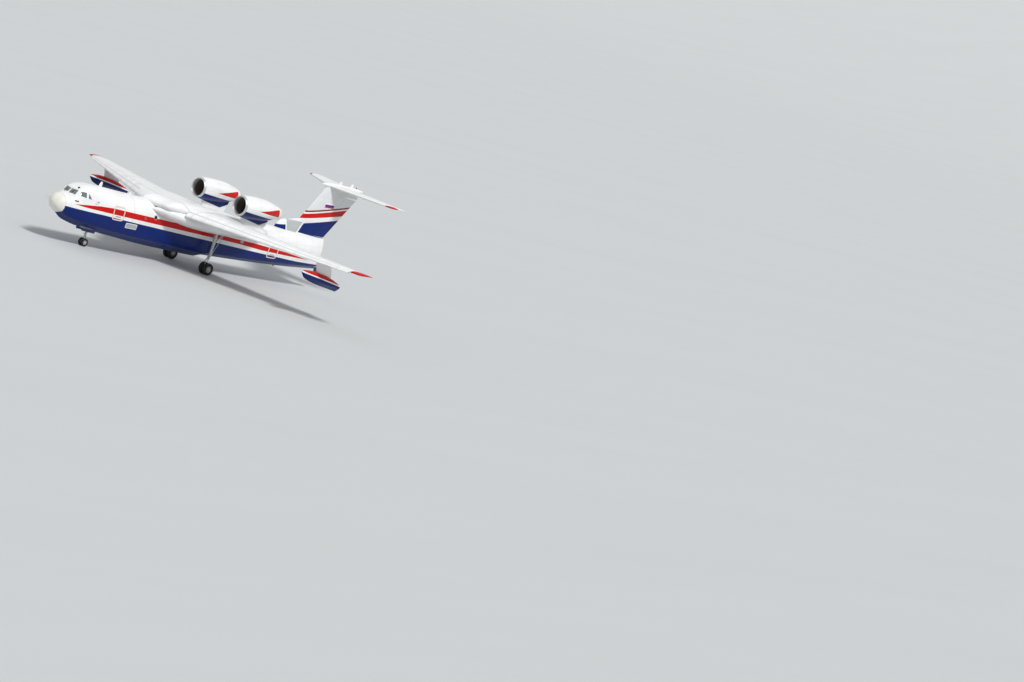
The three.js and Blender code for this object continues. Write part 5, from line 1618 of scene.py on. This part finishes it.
slat_spans = ((2.82, 7.60), (7.62, 11.60), (11.62, 15.52))
slats = [slat_shape(first, last, 12) for first, last in slat_spans]
arms = [slat_arm(span) for first, last in slat_spans for span in (first + 0.7, last - 0.7)]
for way, hand in SIDES:
    piece(f"slats_{hand}", on_side(slats, way), wing_coat, sharp=40)
    piece(f"slat_arms_{hand}", on_side(arms, way), gear_metal)

# Cockpit: instrument board, glare shield, pedestal, screens, yokes and moulded seats


def upright(outline, first, last, edge=0.004):
    """A plate across the aircraft: an outline of sides and heights carried aft."""
    levels = [(first, -edge), (first + edge, 0), (last - edge, 0), (last, -edge)]
    return body([place(station, *grown(outline, by).T) for station, by in levels])


def oblong(side, height, wide, high, radius):
    """A rounded rectangle about a middle."""
    a, b = wide / 2, high / 2
    return framed(side - a, side + a, height - b, height + b, radius)


board = rounded([(-0.88, 2.15), (0.88, 2.15), (0.88, 2.62), (0.52, 2.80), (-0.52, 2.80),
                 (-0.88, 2.62)], 0.05)
hood = rounded([(-0.87, 2.61), (0.87, 2.61), (0.52, 2.83), (-0.52, 2.83)], 0.05)
pedestal = slab(place(1.745, -0.22, CABIN_FLOOR + 0.03), place(1.895, 0.22, 2.18), 0.012, 0.03)
piece("instrument_panel",
      [upright(board, 1.742, 1.885, 0.012), upright(hood, 1.70, 1.93, 0.012), pedestal],
      panel_black, own=True)
screens = [oblong(side, 2.42, 0.20, 0.24, 0.015)
           for side in (-0.68, -0.42, -0.13, 0.13, 0.42, 0.68)]
piece("instrument_screens", [upright(screen, 1.884, 1.894, 0.003) for screen in screens],
      cockpit_glass)
piece("instrument_bezels",
      [strip(screen, lambda side, height, lift: place(1.884 + lift, side, height),
             -0.004, 0.012, 0.014, 0.002) for screen in screens], mark_grey)


def seat_pan(along, across, lift):
    """Dished by 0.03 (1 - a^2)(1 - b^2) below its rim."""
    dish = 0.03 * (1 - (along / 0.25) ** 2) * (1 - (across / 0.24) ** 2)
    return np.stack(np.broadcast_arrays(along, across, 0.09 + lift - dish), axis=-1)


def seat_back(across, up, lift):
    """Leans aft by 0.035 over its height, and is hollowed by 0.03 (1 - a^2)."""
    hollow = 0.03 * (1 - (across / 0.23) ** 2)
    return np.stack(np.broadcast_arrays(
        -0.235 - 0.035 * up / 0.78 + lift - hollow, across, up), axis=-1)


back_outline = rounded([(-0.23, 0.06), (0.23, 0.06), (0.20, 0.58), (0.13, 0.78), (-0.13, 0.78),
                        (-0.20, 0.58)], 0.09)
seat_parts = [
    patch(framed(-0.25, 0.23, -0.24, 0.24, 0.08), seat_pan, 0.0, steps=9, thick=0.05),
    patch(back_outline, seat_back, 0.0, steps=9, thick=0.045),
    rod([0, 0, -0.31], [0, 0, 0.03], 0.07, 0.06),
    slab([-0.2, -0.2, -0.328], [0.2, 0.2, -0.30], 0.006),
    slab([-0.24, -0.19, 0.03], [-0.16, 0.19, 0.10], 0.01, 0.02)]
seat_parts += [tube(curve_through([(-0.28, side, 0.24), (-0.15, side, 0.29), (0.06, side, 0.30),
                                   (0.12, side, 0.28)], 5), 0.022, 10)
               for side in (-0.235, 0.235)]
yoke_loop = curve_through([(0, -0.15, 0.14), (0.01, -0.165, 0.05), (0, -0.09, -0.01),
                           (0, 0, -0.02), (0, 0.09, -0.01), (0.01, 0.165, 0.05),
                           (0, 0.15, 0.14)], 5)
SEAT_SIDE = 0.48
for way, hand in SIDES:
    seat_at = place(2.7, way * SEAT_SIDE, CABIN_FLOOR + 0.33)
    piece(f"seat_{hand}", [(points + seat_at, faces) for points, faces in seat_parts], seat_shell,
          own=True)
    grip = place(2.19, way * SEAT_SIDE, 2.26)
    foot = place(2.12, way * SEAT_SIDE, CABIN_FLOOR + 0.01)
    piece(f"yoke_{hand}", [tube(yoke_loop + grip, 0.014, 10), rod(foot, grip, 0.03, 0.022)],
          panel_black)

# Water rudder: hub knuckles between two fixed lugs, and a blade behind them. Its section
# tapers straight from half a thickness of 0.033 to 0.008; its lower rear corner is round
RUDDER_STATION = STERN + 0.075
blade_levels = np.concatenate([0.645 + 0.12 * (1 - np.cos(np.linspace(0, 1, 8) * QUARTER)),
                               np.linspace(0.80, 1.50, 6), [1.53, 1.555]])[:, None]
blade_reach = 0.62 - 0.14 * (1 - np.sqrt(1 - np.clip((0.765 - blade_levels) / 0.12, 0, 1) ** 2))
blade_reach = blade_reach - 0.02 * np.clip((blade_levels - 1.53) / 0.025, 0, 1)
blade_share = np.linspace(0, 1, 12)[None]
water_blade = body(there_and_back(
    RUDDER_STATION + 0.052 + (blade_reach - 0.052) * blade_share, 0.033 - 0.025 * blade_share,
    blade_levels))
HUB = ((0.65, 0.972), (1.081, 1.395), (1.504, 1.555))  # heights of its three knuckles
knuckles = [rod(place(RUDDER_STATION, 0, low), place(RUDDER_STATION, 0, high), 0.034)
            for low, high in HUB]
plates = [slab(place(RUDDER_STATION + 0.09, -0.018, low + 0.01),
               place(RUDDER_STATION, 0.018, high - 0.01), 0.004, 0.008) for low, high in HUB]
piece("water_rudder", [water_blade] + knuckles + plates, navy_coat, "water_rudder",
      own=True)
rudder_lugs = []
for height in (1.0264, 1.4496):
    rudder_lugs += [rod(place(RUDDER_STATION, 0, height - 0.044),
                        place(RUDDER_STATION, 0, height + 0.044), 0.03),
                    slab(place(STERN - 0.06, -0.022, height - 0.036),
                         place(RUDDER_STATION, 0.022, height + 0.036), 0.006, 0.01)]
piece("water_rudder_lugs", rudder_lugs, gear_metal)

# Landing gear, in the frame's own x, y and z


def column(x, y, levels, sides=32):
    """An upright turned part: heights above the ground and radii."""
    return tube([(x, y, z) for z, _ in levels], [radius for _, radius in levels], sides)


def tyre_line(radius, width, rim, grooves=(0.2, 0.07, -0.07, -0.2), depth=0.012):
    """Offsets and radii of a tyre: a curved side wall, a tread with square grooves, the other
    side wall, and the bead line that closes it."""
    tall = radius - rim
    wall = curve_through([
        (0.34 * width, rim + 0.003), (0.43 * width, rim + 0.02),
        (0.498 * width, rim + 0.42 * tall), (0.475 * width, rim + 0.76 * tall),
        (0.385 * width, radius - 0.010), (0.31 * width, radius)], 5)
    tread = [((middle + edge) * width, radius - down) for middle in grooves
             for edge, down in ((0.018, 0), (0.012, depth), (-0.012, depth), (-0.018, 0))]
    return np.concatenate([wall, tread, (wall * [-1, 1])[::-1]])


def rim_line(width, rim, bore):
    """Offsets and radii of a dished wheel: hub, web, well and flange, and their mirror image."""
    half = width / 2
    side = np.array([
        (0.74 * half, bore), (0.76 * half, 0.32 * rim), (0.70 * half, 0.42 * rim),
        (0.38 * half, 0.60 * rim), (0.36 * half, 0.84 * rim), (0.60 * half, 0.93 * rim),
        (0.68 * half, rim + 0.008), (0.62 * half, rim + 0.010), (0.56 * half, rim)])
    return np.concatenate([side, (side * [-1, 1])[::-1]])


def wheel(centre, size, bore, way, bolts):
    """Tyre and rim with a ring of bolts, ribs and a cap on the side that faces outwards."""
    _, width, rim = size

    def at(out, radius=0.0, arm=(0, 0, 0)):
        """The centre moved out by a share of the width and along an arm by one of the rim."""
        return np.array(centre) + [0, way * out * width, 0] + np.array(arm) * radius * rim

    parts = [turned_y(rim_line(width, rim, bore), centre, closed=True, sides=48),
             rod(at(0.37), at(0.42), 0.30 * rim, sides=32)]
    for turn in np.arange(bolts) * (2 * np.pi / bolts):
        arm = (np.cos(turn), 0, np.sin(turn))
        parts += [rod(at(0.17, 0.70, arm), at(0.225, 0.70, arm), 0.055 * rim, edge=0.003, sides=8),
                  rod(at(0.33, 0.36, arm), at(0.20, 0.88, arm), 0.06 * rim, edge=0.004, sides=8)]
    return turned_y(tyre_line(*size), centre, closed=True, sides=72), parts


def link(a, b, wide, thick):
    """A flat arm that narrows from a wide end to a narrow one, between two points."""
    t = np.linspace(0, 1, 7)[:, None]
    path = np.asarray(a, float) + (np.asarray(b, float) - a) * t
    return beam(path, wide[0] + (wide[1] - wide[0]) * t[:, 0], thick, edge=0.3)


def pin(x, y, z, half, radius):
    """A rod from side to side, its middle at (x, y, z)."""
    return rod([x, y - half, z], [x, y + half, z], radius)


NOSE_WHEEL, MAIN_WHEEL = (0.31, 0.18, 0.165), (0.475, 0.30, 0.245)  # radius, width, rim
NOSE_AXLE, MAIN_AXLE = NOSE_WHEEL[0], MAIN_WHEEL[0]  # heights
x = 11.725
piece("nose_leg",
      [column(x, 0, [(0.785, 0.07), (0.80, 0.085), (0.88, 0.085), (0.89, 0.074), (1.06, 0.074),
                     (1.07, 0.098), (1.16, 0.098), (1.17, 0.078), (1.95, 0.085), (1.97, 0.10),
                     (2.2, 0.10), (2.278, 0.08)]),
       rod([x, 0, 1.115], [x - 0.50, 0, 2.18], 0.045), pin(x - 0.48, 0, 2.16, 0.09, 0.04),
       pin(x, 0, 2.1, 0.30, 0.05), pin(x + 0.09, 0, 0.96, 0.13, 0.035),
       pin(x - 0.02, 0, 1.115, 0.15, 0.035), rod([x + 0.05, 0, 0.96], [x + 0.12, 0, 0.96], 0.03)],
      gear_metal, own=True)
piece("nose_lamps",
      [rod([x + 0.10, y, 1.30], [x + 0.17, y, 1.30], 0.055, 0.07, 0.008, 28)
       for y in (-0.09, 0.09)], clear_lens)
piece("nose_lamp_bracket",
      [pin(x, 0, 1.30, 0.14, 0.022)]
      + [rod([x - 0.005, y, 1.30], [x + 0.11, y, 1.30], 0.03, 0.05) for y in (-0.09, 0.09)],
      gear_metal)
piece("nose_fork",
      [column(x, 0, [(0.70, 0.07), (0.71, 0.088), (0.76, 0.088), (0.776, 0.07)]),
       pin(x, 0, NOSE_AXLE, 0.245, 0.033), pin(x, 0, NOSE_AXLE, 0.072, 0.062),
       column(x, 0, [(0.25, 0.05), (0.26, 0.065), (0.40, 0.065), (0.41, 0.05)]),
       slab([x + 0.01, -0.04, 0.40], [x + 0.09, 0.04, 0.52], 0.008, 0.015),
       tube(curve_through([(x + 0.07, -0.035, 0.46), (x + 0.14, -0.035, 0.46), (x + 0.165, 0, 0.46),
                           (x + 0.14, 0.035, 0.46), (x + 0.07, 0.035, 0.46)], 6), 0.014, 10),
       link([x - 0.05, 0, 0.72], [x - 0.20, 0, 0.57], (0.12, 0.05), 0.03),
       link([x - 0.05, 0, 0.40], [x - 0.20, 0, 0.55], (0.12, 0.05), 0.03),
       pin(x - 0.20, 0, 0.56, 0.035, 0.02)],
      gear_metal, "nose_gear_lower", own=True)
piece("nose_piston", [column(x, 0, [(0.38, 0.045), (0.39, 0.05), (0.715, 0.05), (0.72, 0.045)])],
      piston_metal, "nose_gear_lower")
for way, hand in SIDES:
    tyre, parts = wheel((x, way * 0.165, NOSE_AXLE), NOSE_WHEEL, 0.034, way, 8)
    piece(f"nose_tyre_{hand}", [tyre], tyre_rubber, "nose_wheels",
          own=True)
    piece(f"nose_rim_{hand}", parts, wheel_alloy, "nose_wheels",
          own=True)

x = 0.585
for way, hand in SIDES:
    y = way * 2.15
    leg = [column(x, y, [(1.455, 0.10), (1.47, 0.128), (1.60, 0.128), (1.615, 0.108),
                         (2.45, 0.108), (2.465, 0.13), (2.58, 0.13), (2.595, 0.112),
                         (3.70, 0.118), (3.72, 0.14), (3.90, 0.14), (3.975, 0.11)]),
           pin(x, y, 3.80, 0.37, 0.06),
           rod([x, y, 2.52], [x - 0.95, y, 3.62], 0.055), pin(x - 0.95, y, 3.66, 0.34, 0.045),
           rod([x - 0.95, y, 3.52], [x - 0.95, y, 3.76], 0.07),
           rod([x, y - way * 0.05, 2.55], [x, y - way * 0.36, 3.45], 0.04),
           rod([x + 0.02, y, 1.53], [x + 0.17, y, 1.53], 0.04),
           rod([x - 0.10, y, 1.56], [x - 0.80, y, 3.30], 0.022),
           link([x + 0.07, y, 1.50], [x + 0.33, y, 1.05], (0.20, 0.07), 0.045),
           link([x + 0.07, y, 0.62], [x + 0.33, y, 1.03], (0.20, 0.07), 0.045),
           pin(x + 0.33, y, 1.04, 0.05, 0.03),
           column(x, y, [(0.37, 0.08), (0.385, 0.10), (0.66, 0.10), (0.675, 0.08)]),
           pin(x, y, MAIN_AXLE, 0.355, 0.056), pin(x, y, MAIN_AXLE, 0.10, 0.09)]
    brakes = [turned_y([(at, 0.05), (at, 0.17), (at + 0.004, 0.188), (at + 0.018, 0.188),
                        (at + 0.022, 0.17), (at + 0.022, 0.05)], (x, y, MAIN_AXLE), closed=True)
              for at in (-0.112, 0.090)]
    piece(f"main_leg_{hand}", leg, gear_metal, own=True)
    piece(f"main_piston_{hand}",
          [column(x, y, [(0.60, 0.070), (0.61, 0.077), (1.47, 0.077), (1.48, 0.070)])],
          piston_metal)
    piece(f"main_brakes_{hand}", brakes, engine_metal)
    for out, label in ((1, "port"), (-1, "starboard")):
        tyre, parts = wheel((x, y + out * 0.235, MAIN_AXLE), MAIN_WHEEL, 0.0585, out, 10)
        piece(f"main_tyre_{hand}_{label}", [tyre], tyre_rubber, f"main_wheels_{hand}",
              own=True)
        piece(f"main_rim_{hand}_{label}", parts, wheel_alloy, f"main_wheels_{hand}",
              own=True)

# Small fittings on the hull


def circle(first, second, radius):
    """Middle + radius (cos t, sin t)."""
    turn = np.linspace(0, 2 * np.pi, 28, endpoint=False)
    return np.column_stack([first + radius * np.cos(turn), second + radius * np.sin(turn)])


def crown_on(station, side, lift):
    """Puts a station and side on the bow's crown, at the height of hull_point's over-curve."""
    _, _, _, beam_y, beam_h, crown, full = hull_rows(FOREBODY, station)
    bend = np.arccos(np.clip(np.abs(side) / beam_y, 0, 1) ** (1 / full))
    return place(station, side, beam_h + (crown - beam_h) * np.sin(bend) ** full + lift)


def aerial(station, height, root, tip, tall):
    """A swept blade aerial: an aerofoil section that shortens and moves aft with height."""
    rows = [(height - 0.05, station, station + root, 0.09),
            (height + tall * 0.6, station + (root - tip) * 0.5, station + root * 0.97, 0.08),
            (height + tall, station + root - tip, station + root * 0.93, 0.06)]
    return strut_rings(rows, 0.0, heights=8)


def dome(station, side, heights, radii):
    """An upright round part through the given heights."""
    return tube(place(np.full(len(heights), station), side, np.array(heights)), radii, 20)


piece("aerials", [aerial(4.05, 3.81, 0.36, 0.20, 0.40), aerial(7.25, 3.72, 0.26, 0.14, 0.17)],
      white_coat)
piece("roof_dome", [dome(1.80, 0.48, [3.37, 3.50, 3.54, 3.56, 3.565],
                         [0.085, 0.085, 0.07, 0.04, 0.01])], port_dark)
piece("crown_hatch",
      [strip(oblong(6.1, 0, 0.82, 0.70, 0.12), crown_on, -0.004, 0.014, 0.007, 0.01)],
      mark_grey)
rail_path = crown_on(np.array([7.55, 7.58, 7.62, 7.9, 8.2, 8.24, 8.27]), np.full(7, 0.20),
                     np.array([-0.02, 0.04, 0.06, 0.06, 0.06, 0.04, -0.02]))
piece("crown_rail", [tube(rail_path, 0.014, 8)], mark_grey)
for way, hand in SIDES:
    put, aft_put = on_hull(FOREBODY, way), on_hull(AFTERBODY, way)
    plate = oblong(7.235, 1.53, 1.11, 0.34, 0.03)
    small_port, large_port = circle(8.40, 2.35, 0.075), circle(9.43, 2.57, 0.15)
    piece(f"plate_{hand}", [patch(plate, put, 0.008)], mark_grey)
    piece(f"plate_frame_{hand}", [strip(plate, put, -0.02, 0.035, 0.014, 0.01)], white_coat)
    piece(f"ports_{hand}",
          [patch(small_port, put, 0.006), patch(large_port, put, 0.008),
           patch(oblong(1.45, 2.55, 0.30, 0.10, 0.03), put, 0.006)], port_dark)
    piece(f"port_rings_{hand}",
          [strip(small_port, put, -0.006, 0.018, 0.012, 0.01),
           strip(large_port, put, -0.008, 0.03, 0.02, 0.01)], mark_grey)
    piece(f"drain_plate_{hand}", [patch(oblong(19.08, 2.08, 0.34, 0.22, 0.05), aft_put, 0.012)],
          mark_grey)
    foot = put(3.38, 2.80, 0.0)
    probe = curve_through([foot, foot + [0.0, way * 0.10, 0.03], foot + [0.05, way * 0.16, 0.05],
                           foot + [0.30, way * 0.17, 0.05]], 6)
    piece(f"probe_{hand}", [tube(probe, 0.018, 10)], port_dark)
    brow = on_brow(way)
    arm = brow(np.array([0.30, 0.33, 0.36]), np.array([2.90, 3.03, 3.17]), 0.018)
    wipe = brow(np.array([0.34, 0.36, 0.40, 0.43]), np.array([3.00, 3.10, 3.20, 3.27]), 0.010)
    piece(f"wiper_{hand}", [tube(arm, 0.010, 8), tube(wipe, 0.009, 8)], port_dark)
    rail_stations = spaced(1.0, 4.5, 15.7, step=0.35)
    rail_side, rail_height = hull_point(FOREBODY, rail_stations, np.ones(len(rail_stations)))
    piece(f"spray_rail_{hand}",
          [tube(place(rail_stations, way * (rail_side + 0.008), rail_height - 0.012), 0.024, 10)],
          navy_coat)

# Lights: wing tips, crown and belly, tail
for way, hand, colour in ((1, "left", red_lens), (-1, "right", green_lens)):
    lamp_path = place(np.array([17.06, 17.10, 17.18, 17.30, 17.42]), way * 16.16,
                      np.array([3.77, 3.77, 3.77, 3.775, 3.78]))
    piece(f"tip_lamp_{hand}", [tube(lamp_path, [0.012, 0.035, 0.05, 0.05, 0.03], 16)], colour)
beacon_radii = [0.05, 0.05, 0.035, 0.01]
piece("beacons", [dome(24.6, 0, [0.54, 0.47, 0.44, 0.43], beacon_radii),
                  dome(31.0, 0, [7.94, 8.00, 8.03, 8.045], beacon_radii)], red_lens)
piece("tail_lamp", [tube(place(np.array([31.80, 31.90, 31.99, 32.03]), 0, 7.77),
                         [0.075, 0.058, 0.035, 0.008], 20)], clear_lens)
piece("bullet_masts",
      [aerial(28.95, 7.98, 0.32, 0.24, 0.27), aerial(30.30, 7.95, 0.32, 0.24, 0.28)],
      white_coat)
